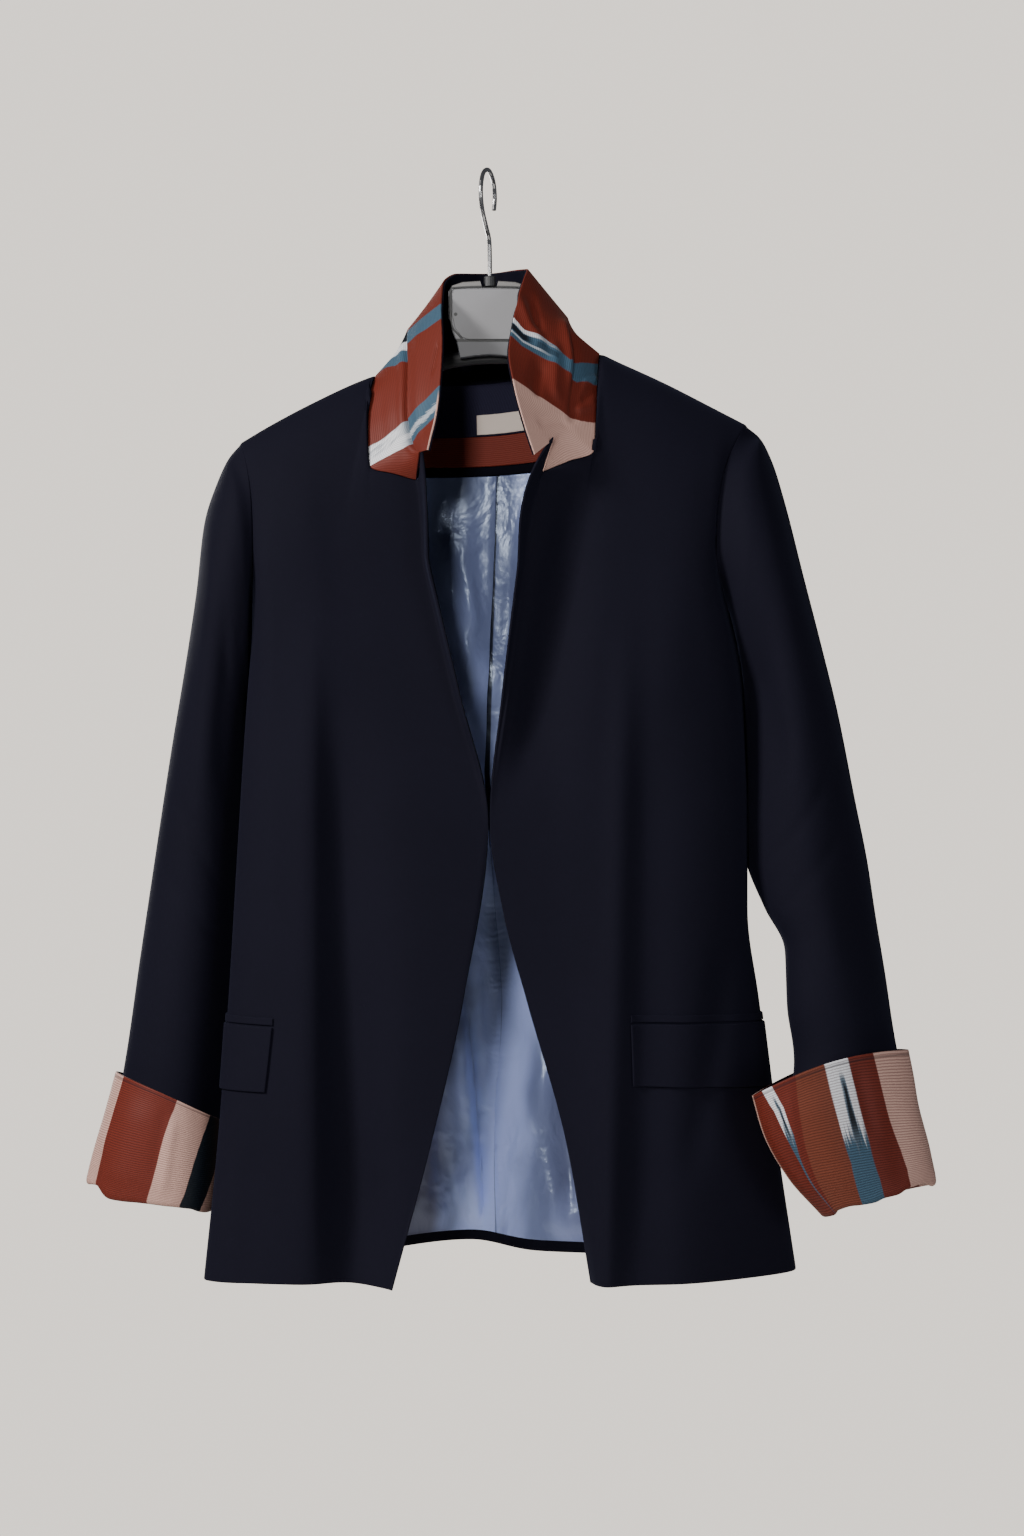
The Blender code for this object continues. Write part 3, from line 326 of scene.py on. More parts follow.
COLLAR = table("""
station s crease_x crease_y crease_z edge_x edge_y edge_z
end_right 0 -51.8 -80 -229.9 -46.0 -97 -230.8
gorge_right 0.06 -56.6 -72 -226.0 -43.3 -96 -219.4
corner_right 0.12 -61.4 -66 -211.6 -39.3 -90 -202.0
low_right 0.18 -64.1 -58 -189.9 -36.5 -78 -175.4
mid_right 0.23 -64.1 -40 -163.0 -35.4 -58 -144.4
neck_right 0.29 -65.6 -12 -136.7 -36.8 -30 -111.8
turn_right 0.37 -63.2 24 -120.7 -36.1 8 -86.4
side_right 0.43 -39.1 50 -125.9 -25.9 34 -74.8
centre 0.5 0.3 62 -122.7 0.4 49 -72.5
side_left 0.57 41.5 52 -117.6 18.2 38 -71.8
turn_left 0.64 63.7 26 -111.6 31.6 8 -75.2
neck_left 0.71 62.4 -12 -124.1 24.8 -26 -99.5
mid_left 0.77 64.9 -36 -150.8 19.3 -46 -128.0
low_left 0.82 61.4 -56 -183.5 16.7 -68 -151.1
corner_left 0.88 58.2 -68 -203.4 20.5 -86 -177.1
gorge_left 0.94 53.5 -74 -216.3 28.1 -96 -207.2
end_left 1 50.3 -80 -220.0 37.9 -97 -236.9
""")
SEWN = table("""
station s piece u
end_right 0 0 0.05
gorge_right 0.06 0 0.16
corner_right 0.12 0 0.26
low_right 0.18 0 0.34
mid_right 0.23 0 0.40
neck_right 0.29 0 0.46
neck_right_back 0.29 1 0.36
turn_right 0.37 1 0.41
side_right 0.43 1 0.45
centre 0.5 1 0.5
side_left 0.57 1 0.55
turn_left 0.64 1 0.59
neck_left_back 0.71 1 0.64
neck_left 0.71 2 0.46
mid_left 0.77 2 0.40
low_left 0.82 2 0.34
corner_left 0.88 2 0.26
gorge_left 0.94 2 0.16
end_left 1 2 0.05
""")


def smooth(knots, values, at):
    """Shape-keeping cubic (Fritsch-Carlson slopes) through values along axis 0."""
    values = np.asarray(values, float)
    knots, at = np.asarray(knots, float), np.asarray(at, float)
    step = np.diff(knots).reshape(-1, *[1] * (values.ndim - 1))
    slope = np.diff(values, axis=0) / step
    inner = np.zeros_like(values)
    if len(knots) > 2:
        h0, h1, d0, d1 = step[:-1], step[1:], slope[:-1], slope[1:]
        w0, w1 = 2 * h1 + h0, h1 + 2 * h0
        same = d0 * d1 > 0
        inner[1:-1] = np.where(
            same, (w0 + w1) / (w0 / np.where(same, d0, 1) + w1 / np.where(same, d1, 1)), 0
        )
    inner[0], inner[-1] = slope[0], slope[-1]
    k = np.clip(np.searchsorted(knots, at, side="right") - 1, 0, len(knots) - 2)
    t = ((at - knots[k]) / np.diff(knots)[k]).reshape(-1, *[1] * (values.ndim - 1))
    h = step[k]
    return (
        (1 + 2 * t) * (1 - t) ** 2 * values[k]
        + t * (1 - t) ** 2 * h * inner[k]
        + t**2 * (3 - 2 * t) * values[k + 1]
        - t**2 * (1 - t) * h * inner[k + 1]
    )


def columns(rows, prefix, names):
    """The columns prefix_name side by side; "xyz" stands for the names x, y and z."""
    return np.stack([rows[f"{prefix}_{name}"] for name in names], axis=1)


def top_line(rows, u):
    """The upper border of a panel, a cubic through its tabled points."""
    return smooth(rows["u"], np.stack([rows["x"], rows["y"], rows["z"]], axis=1), u)


def unit(vectors):
    """Vectors of the same directions, one long."""
    return vectors / np.maximum(np.linalg.norm(vectors, axis=-1, keepdims=True), TINY)


def bell(x):
    """exp(-x^2)."""
    return np.exp(-(x ** 2))


def step_up(x, low, high):
    """0 below low, 1 above high, and 3t^2 - 2t^3 between."""
    t = np.clip((x - low) / (high - low), 0, 1)
    return t * t * (3 - 2 * t)


def ends(t, low, high):
    """step_up of t, times the same from the other end of a line along which t goes from 0 to 1."""
    return step_up(t, low, high) * (1 - step_up(t, 1 - high, 1 - low))


def folded(points, folds, outward):
    """Points moved in y by each fold: depth x exp(-((x - line(z)) / width)^2), eased in from its top."""
    x, y, z = points[..., 0], points[..., 1].copy(), points[..., 2]
    for fold in each(folds):
        t = (fold.z_top - z) / (fold.z_top - fold.z_foot)
        c = np.clip(t, 0, 1.2)
        line = fold.x_top + t * (fold.x_foot - fold.x_top)
        wide = fold.wide_top + c * (fold.wide_foot - fold.wide_top)
        deep = fold.deep_top + c * (fold.deep_foot - fold.deep_top)
        y += outward * deep * step_up(t, -0.15, 0.85) * bell((x - line) / wide)
    return np.stack([x, y, z], axis=-1)


def creased(points, creases, outward, where=1):
    """Points moved in y by short creases: deep x exp(-(d / wide)^2) x ends, where d is the distance
    in x from the line between the crease's two ends, wide differs on its two sides, and ends
    fades over the first and last fifth of the line."""
    x, y, z = points[..., 0], points[..., 1].copy(), points[..., 2]
    for row in each(creases):
        t = (row.z_top - z) / (row.z_top - row.z_foot)
        d = x - row.x_top - t * (row.x_foot - row.x_top)
        wide = np.where(d < 0, row.wide_left, row.wide_right)
        y += outward * row.deep * ends(t, -0.1, 0.2) * bell(d / wide) * where
    return np.stack([x, y, z], axis=-1)


def panel(top, levels, stations, folds, outward, u, v):
    """Points (v, u, 3). Above the chest level each column is a quarter ellipse, level where it
    leaves the shoulder and upright at the chest; by a front's two borders it moves in x sooner.
    Below the chest the columns are cubics through the levels."""
    names, at = list(stations), list(stations.values())
    heights = [name[2:] for name in levels if name.startswith("z_")]
    x = smooth(at, columns(levels, "x", names).T, u)
    y = smooth(at, columns(levels, "y", names).T, u)
    z = smooth([stations[h] for h in heights], columns(levels, "z", heights).T, u)
    rows = np.stack([x.T, y.T, z.T], axis=-1)
    low = smooth(levels["v"], rows, np.maximum(v, CHEST))
    start = top_line(top, u)
    turn = np.clip(v / CHEST, 0, 1) * math.pi / 2
    down = (1 - np.cos(turn))[:, None]
    quick = 1 - (1 - down) ** 3
    near = (np.maximum(EDGE_ZONE - u, u - (1 - EDGE_ZONE)) / EDGE_ZONE).clip(0, 1) * (outward < 0)
    deep = np.sin(turn)[:, None] + 0 * near
    weight = np.stack([down + (quick - down) * near, deep, down + 0 * near], axis=-1)
    high = start[None] + (rows[0] - start)[None] * weight
    return folded(np.where((v < CHEST)[:, None, None], high, low), folds, outward)


def by_length(line, parts):
    """The points of a polyline at these parts of its length."""
    passed = np.concatenate([[0], np.cumsum(np.linalg.norm(np.diff(line, axis=0), axis=1))])
    return np.stack([np.interp(parts * passed[-1], passed, line[:, i]) for i in range(3)], axis=1)


def ring(rows, turn):
    """Each row's ring through its four points: middle + out cos + front sin, with the middle going
    from the out-in one to the front-back one as cos^2 and sin^2."""
    c, s = (wave(2 * math.pi * turn)[None, :, None] for wave in (np.cos, np.sin))
    out, fore, inner, aft = (columns(rows, p, "xyz")[:, None] for p in ("out", "front", "in", "back"))
    middle = (out + inner) / 2 * c * c + (fore + aft) / 2 * s * s
    return middle + (out - inner) / 2 * c + (fore - aft) / 2 * s


def shrunk(loops, by):
    """Each ring drawn in towards its middle by this many millimetres."""
    return loops - unit(loops - loops.mean(axis=1, keepdims=True)) * by


def eased(points, passes, closed=False):
    """Points drawn halfway to the mean of their neighbours along u, then v, this many times. The
    borders are kept."""
    points = points.copy()
    for _ in range(passes):
        if closed:
            around = (np.roll(points[:, :-1], 1, 1) + np.roll(points[:, :-1], -1, 1)) / 2
            points[1:-1, :-1] = (points[1:-1, :-1] + around[1:-1]) / 2
            points[:, -1] = points[:, 0]
        else:
            points[:, 1:-1] = (points[:, 1:-1] * 2 + points[:, :-2] + points[:, 2:]) / 4
        points[1:-1] = (points[1:-1] * 2 + points[:-2] + points[2:]) / 4
    return points


def normals(points, closed=False):
    """Unit d/du x d/dv on a grid (v, u, 3); closed grids repeat their first column as the last."""
    if closed:
        loop = points[:, :-1]
        du = np.roll(loop, -1, axis=1) - np.roll(loop, 1, axis=1)
        du = np.concatenate([du, du[:, :1]], axis=1)
    else:
        du = np.gradient(points, axis=1)
    return unit(np.cross(du, np.gradient(points, axis=0)))


class Cloth:
    """A surface worked out once on a fine grid and read anywhere by straight interpolation.
    side is +1 where du x dv points out of the blazer and -1 where it points in."""

    def __init__(self, u, v, points, side, closed=False):
        self.u, self.v, self.points, self.side, self.closed = u, v, points, side, closed
        self.out = normals(points, closed) * side
        self.wide = np.linalg.norm(np.diff(points, axis=1), axis=-1).sum(axis=1)
        self.long = np.linalg.norm(np.diff(points, axis=0), axis=-1).sum(axis=0)

    def width(self, v):
        """Millimetres along u at v."""
        return np.interp(v, self.v, self.wide)

    def length(self, u):
        """Millimetres along v at u."""
        return np.interp(u, self.u, self.long)

    def read(self, u, v):
        """Points and outward directions at parameter grids u and v of one shape: each is the mean of
        its cell's four corners, weighted by how near it lies to them."""
        i = np.clip(np.searchsorted(self.u, u, side="right") - 1, 0, len(self.u) - 2)
        j = np.clip(np.searchsorted(self.v, v, side="right") - 1, 0, len(self.v) - 2)
        a = ((u - self.u[i]) / (self.u[i + 1] - self.u[i]))[..., None]
        b = ((v - self.v[j]) / (self.v[j + 1] - self.v[j]))[..., None]

        def mean(grid):
            """The mean of the four corners."""
            low = (1 - a) * grid[j, i] + a * grid[j, i + 1]
            return (1 - b) * low + b * ((1 - a) * grid[j + 1, i] + a * grid[j + 1, i + 1])

        return mean(self.points), unit(mean(self.out))


NEAR_BORDER = (0.0, 0.25, 0.7, 1.4, 2.6)  # mm in from a border where the wall is rounded off
ROUNDING = 1.2  # how far in a wall is rounded off, in half thicknesses
RIM = 0.6  # the part of its thickness that a wall keeps at its border


def spaced(count, size):
    """0 to 1 in even steps, with closer lines at the borders of a piece this many millimetres long."""
    even, near = np.linspace(0, 1, count), np.array(NEAR_BORDER) / size
    clear = near[-1] * 1.5
    return np.unique(np.concatenate([near, even[(even > clear) & (even < 1 - clear)], 1 - near]))


def border(b, at):
    """A border parameter at these places: the same number, or a function of the place."""
    return b(at) if callable(b) else np.full(len(at), float(b))


def patch(cloth, u, v, counts):
    """Parameter grids of a piece of cloth between the borders u = (first, last) and v = (top, foot).
    Each border is a number, or a function of how far along it a point is, 0 to 1."""
    some = np.linspace(0, 1, 9)
    (u0, u1), (v0, v1) = ([np.mean(b(some) if callable(b) else b) for b in pair] for pair in (u, v))
    across = spaced(counts[0], cloth.width((v0 + v1) / 2) * abs(u1 - u0))
    down = spaced(counts[1], cloth.length((u0 + u1) / 2) * abs(v1 - v0))
    if cloth.closed:
        across = np.linspace(0, 1, counts[0] + 1)[:-1]
    first, last = (border(b, down)[:, None] for b in u)
    top, foot = (border(b, across)[None] for b in v)
    return first + (last - first) * across[None], top + (foot - top) * down[:, None]


def run(points, axis):
    """Millimetres along the grid from its first line, along this axis."""
    steps = np.linalg.norm(np.diff(points, axis=axis), axis=-1)
    zero = np.zeros_like(np.take(steps, [0], axis))
    return np.concatenate([zero, np.cumsum(steps, axis=axis)], axis=axis)


class Piece:
    """A cloth wall: the grid moved out by near and by far, joined round its borders, where both
    faces come together as (1 - (1 - d / r)^2)^0.5 of the distance d to the nearest border."""

    def __init__(self, name, cloth, points, out, near, far):
        rows, cols = points.shape[:2]
        across, down = run(points, 1), run(points, 0)
        d = np.minimum(down, down[-1:] - down)
        if not cloth.closed:
            d = np.minimum(d, np.minimum(across, across[:, -1:] - across))
        middle, half = (near + far) / 2, abs(near - far) / 2
        part = RIM + (1 - RIM) * np.sqrt(1 - (1 - np.clip(d / (half * ROUNDING), 0, 1)) ** 2)
        half = (half * part)[..., None]
        outer, inner = points + out * (middle + half), points + out * (middle - half)
        i, j = np.meshgrid(np.arange(rows - 1), np.arange(cols if cloth.closed else cols - 1), indexing="ij")
        k = (j + 1) % cols
        here, below = i * cols, (i + 1) * cols
        skin = np.stack([here + j, here + k, below + k, below + j], -1).reshape(-1, 4)
        n = rows * cols
        grid = np.arange(n).reshape(rows, cols)
        if cloth.closed:
            loops = [np.append(grid[0], grid[0, 0]), np.append(grid[-1], grid[-1, 0])[::-1]]
        else:
            loops = [np.concatenate([grid[0], grid[1:, -1], grid[-1, -2::-1], grid[-2::-1, 0]])]
        rims = [np.stack([q, p, p + n, q + n], -1) for p, q in ((loop[:-1], loop[1:]) for loop in loops)]
        faces = np.concatenate([skin, skin[:, ::-1] + n, *rims])
        self.faces = faces[:, ::-1] if cloth.side < 0 else faces
        self.name, self.points = name, np.concatenate([outer.reshape(-1, 3), inner.reshape(-1, 3)])
        self.hidden = slice(len(skin), 2 * len(skin))
        self.maps = {}
        self.lay("cloth", across * MM, down * MM)

    def lay(self, name, first, second):
        """A map of two numbers a point, the same on both faces of the wall."""
        pair = np.stack([first.ravel(), second.ravel()], -1)
        self.maps[name] = np.concatenate([pair, pair])

    def sew(self, look, back=None):
        """Puts the piece into the scene, on its body and in place of its solid, with the finishes
        look and, on the side that is turned away, back."""
        replaces = self.name.removesuffix("_cloth")
        mesh = bpy.data.meshes.new(self.name)
        mesh.vertices.add(len(self.points))
        mesh.vertices.foreach_set("co", (self.points * MM).ravel())
        mesh.loops.add(self.faces.size)
        mesh.loops.foreach_set("vertex_index", self.faces.ravel())
        mesh.polygons.add(len(self.faces))
        mesh.polygons.foreach_set("loop_start", np.arange(0, self.faces.size, 4))
        mesh.polygons.foreach_set("use_smooth", np.ones(len(self.faces), bool))
        mesh.materials.append(finish(look))
        if back is not None:
            mesh.materials.append(finish(back))
            index = np.zeros(len(self.faces), np.int32)
            index[self.hidden] = 1
            mesh.polygons.foreach_set("material_index", index)
        mesh.update(calc_edges=True)
        for name, pairs in self.maps.items():
            layer = mesh.uv_layers.new(name=name)
            layer.data.foreach_set("uv", pairs[self.faces.ravel()].ravel())
        mesh.validate()
        obj = bpy.data.objects.new(self.name, mesh)
        bpy.context.scene.collection.objects.link(obj)
        wide, long, area = pattern(replaces)[:3]
        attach(obj, "root")
        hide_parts(replaces)


# ---- surfaces ----------------------------------------------------------------------------------

FINE_U, FINE_V = np.linspace(0, 1, 181), np.linspace(0, 1, 281)
PANEL_EASE, SLEEVE_EASE, COLLAR_EASE = 10, 6, 3  # passes

FINE_RIGHT = table("""
crease x_top z_top x_foot z_foot wide_left wide_right deep
chest_soft -144 -242 -121 -419 20.5 14.2 1.6
hem_wave -182 -764 -184 -879 11.1 11.1 -1.5
crest -135 -373 -131 -877 15.8 9.5 4.5
valley -113 -419 -101 -879 15.8 26.9 -9
side_soft -174 -310 -163 -650 9.5 9.5 1.2
""")
FINE_LEFT = table("""
crease x_top z_top x_foot z_foot wide_left wide_right deep
diagonal 189 -594 155 -785 12.6 12.6 -3.2
crest 106 -373 91 -877 11.1 11.1 3.5
turned 124 -419 117 -878 14.2 23.7 -4.5
roll 44 -243 9 -472 6.3 20.5 6.5
roll_fall 71 -242 27 -472 12.6 20.5 -6
side_soft 183 -310 194 -573 7.9 7.9 1.2
chest_soft 156 -242 144 -419 17.4 17.4 1.4
""")
FINE_BACK = table("""
crease x_top z_top x_foot z_foot wide_left wide_right deep
blade_right -56 -237 -72 -464 23.7 23.7 1.2
blade_left 123 -237 135 -464 23.7 23.7 1.2
""")

FRONTS = {
    "right": (TOP_RIGHT, LEVELS_RIGHT, FOLDS_RIGHT, FINE_RIGHT),
    "left": (TOP_LEFT, LEVELS_LEFT, FOLDS_LEFT, FINE_LEFT),
}


@cache
def front(side):
    """A front's surface: the tabled panel, eased, with its short creases, which end by its borders."""
    top, levels, folds, fine = FRONTS[side]
    points = eased(panel(top, levels, FRONT_STATIONS, folds, -1, FINE_U, FINE_V), PANEL_EASE)
    where = step_up(FINE_U, 0, 0.04)[None] * (1 - step_up(FINE_U, 0.94, 1))[None]
    return Cloth(FINE_U, FINE_V, creased(points, fine, -1, where), -WAY[side])


@cache
def back():
    """The back's surface; its u runs from the wearer's right side seam to the left one."""
    u = np.linspace(0, 1, 301)
    points = panel(TOP_BACK, LEVELS_BACK, BACK_STATIONS, FOLDS_BACK, 1, u, FINE_V)
    points = eased(points, PANEL_EASE)
    return Cloth(u, FINE_V, creased(points, FINE_BACK, 1), 1)


def armhole(side, turn):
    """The armhole seam at these turns: 0 at the shoulder, down the front to 0.5, and up the back."""
    v = UNDERARM * (1 - np.cos(np.linspace(0, math.pi / 2, 90)))
    fore = front(side).read(np.full(len(v), 1.0), v)[0]
    aft = back().read(np.full(len(v), 0.0 if side == "right" else 1.0), v)[0]
    half = np.where(turn <= 0.5, turn * 2, 2 - turn * 2)
    return np.where((turn <= 0.5)[:, None], by_length(fore, half), by_length(aft, half))


WAVES_RIGHT = table("""
crease turn_top v_top turn_foot v_foot wide deep
front_dent 0.3 0.16 0.34 0.44 0.045 -3.0
front_ridge 0.2 0.12 0.24 0.5 0.05 2.0
elbow_one 0.1 0.46 0.36 0.56 0.05 -0.8
elbow_two 0.12 0.56 0.38 0.64 0.05 -0.7
back_dent 0.72 0.2 0.7 0.5 0.05 -2.0
against_pocket 0.5 0.68 0.5 0.9 0.07 5.5
""")
WAVES_LEFT = table("""
crease turn_top v_top turn_foot v_foot wide deep
front_dent 0.36 0.16 0.3 0.42 0.045 -3.0
front_ridge 0.26 0.3 0.25 0.8 0.05 2.4
elbow_one 0.1 0.46 0.36 0.56 0.05 -0.8
elbow_two 0.12 0.56 0.38 0.64 0.05 -0.7
back_dent 0.72 0.2 0.7 0.5 0.05 -2.0
against_body 0.48 0.12 0.47 0.54 0.08 6.0
underarm 0.5 0.02 0.49 0.24 0.08 4.5
""")
CUFF_WAVES_RIGHT = table("""
crease turn_top v_top turn_foot v_foot wide deep
pucker 0.262 0.2 0.245 0.92 0.01 1.5
hollow 0.235 0.1 0.22 0.8 0.014 -1.0
swell 0.16 0.15 0.14 0.95 0.05 1.6
corner 0.05 0.55 0.06 1.15 0.03 -2.0
""")
CUFF_WAVES_LEFT = table("""
crease turn_top v_top turn_foot v_foot wide deep
swell 0.3 0.15 0.28 0.95 0.05 1.8
ridge 0.345 0.05 0.385 1.0 0.008 1.8
tuck 0.205 0.05 0.195 0.55 0.012 -1.4
dent 0.14 0.3 0.17 1.0 0.03 -1.5
side 0.02 0.2 0.03 0.9 0.04 -1.6
inner 0.4 0.2 0.4 0.8 0.02 -1.2
""")
SWAY = table("""
at turn right left
outermost 0.000 0.0 0.5
a 0.030 -1.5 0.5
b 0.065 -2.7 -2.4
c 0.115 3.0 -4.5
d 0.150 1.6 -4.5
e 0.190 -1.0 -1.8
f 0.226 -2.6 -2.3
front 0.255 -3.3 -0.9
g 0.290 -4.0 -1.9
h 0.328 -3.9 -3.7
i 0.365 -1.8 -3.0
j 0.400 -0.6 0.8
innermost 0.450 0.0 1.0
back 0.650 0.0 0.0
last 1.000 0.0 0.5
""")


ARM_TURN = np.linspace(0, 1, 161)  # the turns at which sleeves and cuffs are worked out
SLEEVES = {"right": (SLEEVE_RIGHT, WAVES_RIGHT), "left": (SLEEVE_LEFT, WAVES_LEFT)}
CUFFS = {"right": (CUFF_RIGHT, CUFF_WAVES_RIGHT), "left": (CUFF_LEFT, CUFF_WAVES_LEFT)}
CUFFED = (0.84, 1.0)  # the part of the sleeve that the cuff's inner end lines
OUTSIDE, FOLD, INSIDE = 60, 11, 50  # how many rings each part of a cuff has
FOLD_PACE, INNER_V = 40, (1.3, 2.3)  # rings to one v round a cuff's fold, and v of its inner part
SWAY_AT, SWAY_WIDE = 1.1, 0.16  # v of a cuff where its fold sways most, and how far that reaches


def tube(side, v):
    """A sleeve's rings at these v: the armhole, the tabled rings, and two that follow the cuff inside it."""
    (rows, _), (cuff_rows, _) = SLEEVES[side], CUFFS[side]
    cuff = smooth(cuff_rows["v"], ring(cuff_rows, ARM_TURN), CUFF_RINGS)
    inside = [shrunk(cuff[:1], CUFF_EASE), shrunk(cuff[1:], CUFF_CLOTH + FOLD_EASE)]
    knots = np.concatenate([[0], rows["v"], SLEEVE_ENDS])
    return smooth(knots, np.concatenate([armhole(side, ARM_TURN)[None], ring(rows, ARM_TURN), *inside]), v)


def waved(points, sign, v, rows):
    """Points of a closed grid moved along their outward direction by each crease: deep x
    exp(-(d / wide)^2) x ends, where d is the turn from the line between (turn_top, v_top) and
    (turn_foot, v_foot)."""
    move = np.zeros(points.shape[:2])
    for row in each(rows):
        t = (v - row.v_top) / (row.v_foot - row.v_top)
        line = row.turn_top + t * (row.turn_foot - row.turn_top)
        d = (ARM_TURN[None] - line[:, None] + 0.5) % 1 - 0.5
        move += row.deep * ends(t, -0.1, 0.25)[:, None] * bell(d / row.wide)
    return points + normals(points, True) * sign * move[..., None]


@cache
def sleeve(side):
    """A sleeve's surface: u is the turn from its outermost line over the front, v runs down it."""
    v = np.linspace(0, 1, 321)
    points = waved(eased(tube(side, v), SLEEVE_EASE, closed=True), WAY[side], v, SLEEVES[side][1])
    return Cloth(ARM_TURN, v, points, WAY[side], closed=True)


@cache
def cuff(side):
    """A cuff's surface: v runs down the outside from the rim, round the fold as half an ellipse,
    and up inside the sleeve. The fold hangs lower by the tabled sway x exp(-((v - 1.1) / 0.16)^2)."""
    rows, waves = CUFFS[side]
    outside = smooth(rows["v"], ring(rows, ARM_TURN), np.linspace(0, 1, OUTSIDE))
    inner = tube(side, np.linspace(*CUFFED, INSIDE))
    inner = (inner + normals(inner, True) * WAY[side] * -(SHELL + GAP + CUFF_CLOTH / 2))[::-1]
    along = unit(outside[-1] - outside[-2])
    a = np.linspace(0, math.pi, FOLD + 2)[1:-1, None, None]
    middle, reach = (outside[-1] + inner[0]) / 2, (outside[-1] - inner[0]) / 2
    fold = middle[None] + reach[None] * np.cos(a) + along[None] * FOLD_DROP * np.sin(a)
    points = eased(np.concatenate([outside, fold, inner]), 1, closed=True)
    round_fold = 1 + np.arange(1, FOLD + 1) / FOLD_PACE
    v = np.concatenate([np.linspace(0, 1, OUTSIDE), round_fold, np.linspace(*INNER_V, INSIDE)])
    sway = smooth(SWAY["turn"], SWAY[side], ARM_TURN)
    points = points + along[None] * (bell((v - SWAY_AT) / SWAY_WIDE)[:, None] * sway)[..., None]
    return Cloth(ARM_TURN, v, waved(points, WAY[side], v, waves), WAY[side], closed=True)


def seam_line(s):
    """The neck seam at these stations of the collar."""
    out = np.zeros((len(s), 3))
    for piece, rows in enumerate((TOP_RIGHT, TOP_BACK, TOP_LEFT)):
        mine = SEWN["piece"] == piece
        here = (s >= SEWN["s"][mine].min()) & (s <= SEWN["s"][mine].max())
        out[here] = top_line(rows, np.interp(s[here], SEWN["s"][mine], SEWN["u"][mine]))
    return out


COLLAR_FOLDS = table("""
fold s_top t_top s_foot t_foot wide_under wide_over deep
crease_line 0.31 0.40 0.03 0.415 0.9 2.2 -3.6
crease_swell 0.30 0.34 0.05 0.35 5 3 1.3
fall_swell 0.30 0.60 0.08 0.62 8 8 1.2
edge_tuck 0.238 0.93 0.20 0.84 2.2 2.2 -1.6
stand_dent 0.22 0.10 0.10 0.16 6 6 -1.5
over_dark 0.695 0.86 0.75 0.72 4 7 -3.2
over_ridge 0.72 0.98 0.78 0.66 5 5 2.2
middle_dark 0.80 0.66 0.865 0.72 4 6 -3.0
middle_ridge 0.76 0.56 0.84 0.50 6 5 2.6
fold_edge 0.69 0.42 0.80 0.36 2.5 6 2.2
fold_under 0.70 0.33 0.86 0.30 5 3 -2.6
pucker_one 0.765 0.02 0.79 0.22 2.2 2.2 2.2
pucker_two 0.778 0.02 0.81 0.20 2.0 2.0 -1.8
pucker_three 0.80 0.02 0.83 0.26 3 3 1.6
pink_dent 0.875 0.30 0.93 0.70 6 6 -1.6
back_dent 0.50 0.10 0.50 0.80 14 14 -1.0
""")


def pressed(points, out, s, t, folds):
    """Points moved outwards by each fold: deep x exp(-(d / wide)^2) x ends, where d is the distance in
    millimetres from the line between (s_top, t_top) and (s_foot, t_foot), on the side that it is on."""
    across, down = s[None] * COLLAR_LONG, t[:, None] * COLLAR_WIDE
    move = np.zeros(points.shape[:2])
    for fold in each(folds):
        a = np.array([fold.s_top * COLLAR_LONG, fold.t_top * COLLAR_WIDE])
        b = np.array([fold.s_foot * COLLAR_LONG, fold.t_foot * COLLAR_WIDE])
        long = math.hypot(*(b - a))
        x, y = (b - a) / long
        along = ((across - a[0]) * x + (down - a[1]) * y) / long
        d = (across - a[0]) * -y + (down - a[1]) * x
        wide = np.where(d > 0, fold.wide_over, fold.wide_under)
        move += fold.deep * ends(along, -0.15, 0.2) * bell(d / wide)
    return points + out * move[..., None]


@cache
def collar():
    """The collar's surface: s from the right gorge (0) round the neck to the left one (1), t from the
    neck seam (0) over the crease (0.38) to the free edge (1), straight on both sides of the crease."""
    s, t = np.linspace(0, 1, 521), np.linspace(0, 1, 151)
    crease, edge = (smooth(COLLAR["s"], columns(COLLAR, line, "xyz"), s) for line in ("crease", "edge"))
    seam = seam_line(s)
    stand = seam + (crease - seam) * np.clip(t / CREASE, 0, 1)[:, None, None]
    points = stand + (edge - crease) * np.clip((t - CREASE) / (1 - CREASE), 0, 1)[:, None, None]
    points = eased(points, COLLAR_EASE)
    return Cloth(s, t, pressed(points, -normals(points), s, t, COLLAR_FOLDS), -1)


# ---- finishes ----------------------------------------------------------------------------------


def joined(operation, swapped=False):
    """A method that joins a value and another one by a Math node."""

    def method(self, other):
        """The Math node's output."""
        return self.math(operation, *((other, self) if swapped else (self, other)))

    return method


class Value:
    """A node's output; each operator on it adds a Math node."""

    __add__, __radd__ = joined("ADD"), joined("ADD", True)
    __sub__, __rsub__ = joined("SUBTRACT"), joined("SUBTRACT", True)
    __mul__, __truediv__ = joined("MULTIPLY"), joined("DIVIDE")
    least, most = joined("MINIMUM"), joined("MAXIMUM")

    def __init__(self, tree, socket):
        self.tree, self.socket = tree, socket

    def math(self, operation, *values):
        """The output of a Math node that is fed with these numbers and values."""
        node = self.tree.nodes.new("ShaderNodeMath")
        node.operation = operation
        for place, value in zip(node.inputs, values):
            if isinstance(value, Value):
                self.tree.links.new(value.socket, place)
            else:
                place.default_value = value
        return Value(self.tree, node.outputs[0])

    def wave(self, pitch):
        """Its sine, with one wave to each pitch."""
        return self.math("SINE", self * (2 * math.pi / pitch))

    def ripple(self, pitch):
        """The same wave, from 0 to 1."""
        return self.wave(pitch) * 0.5 + 0.5

    def size(self):
        """Its absolute value."""
        return self.math("ABSOLUTE", self)


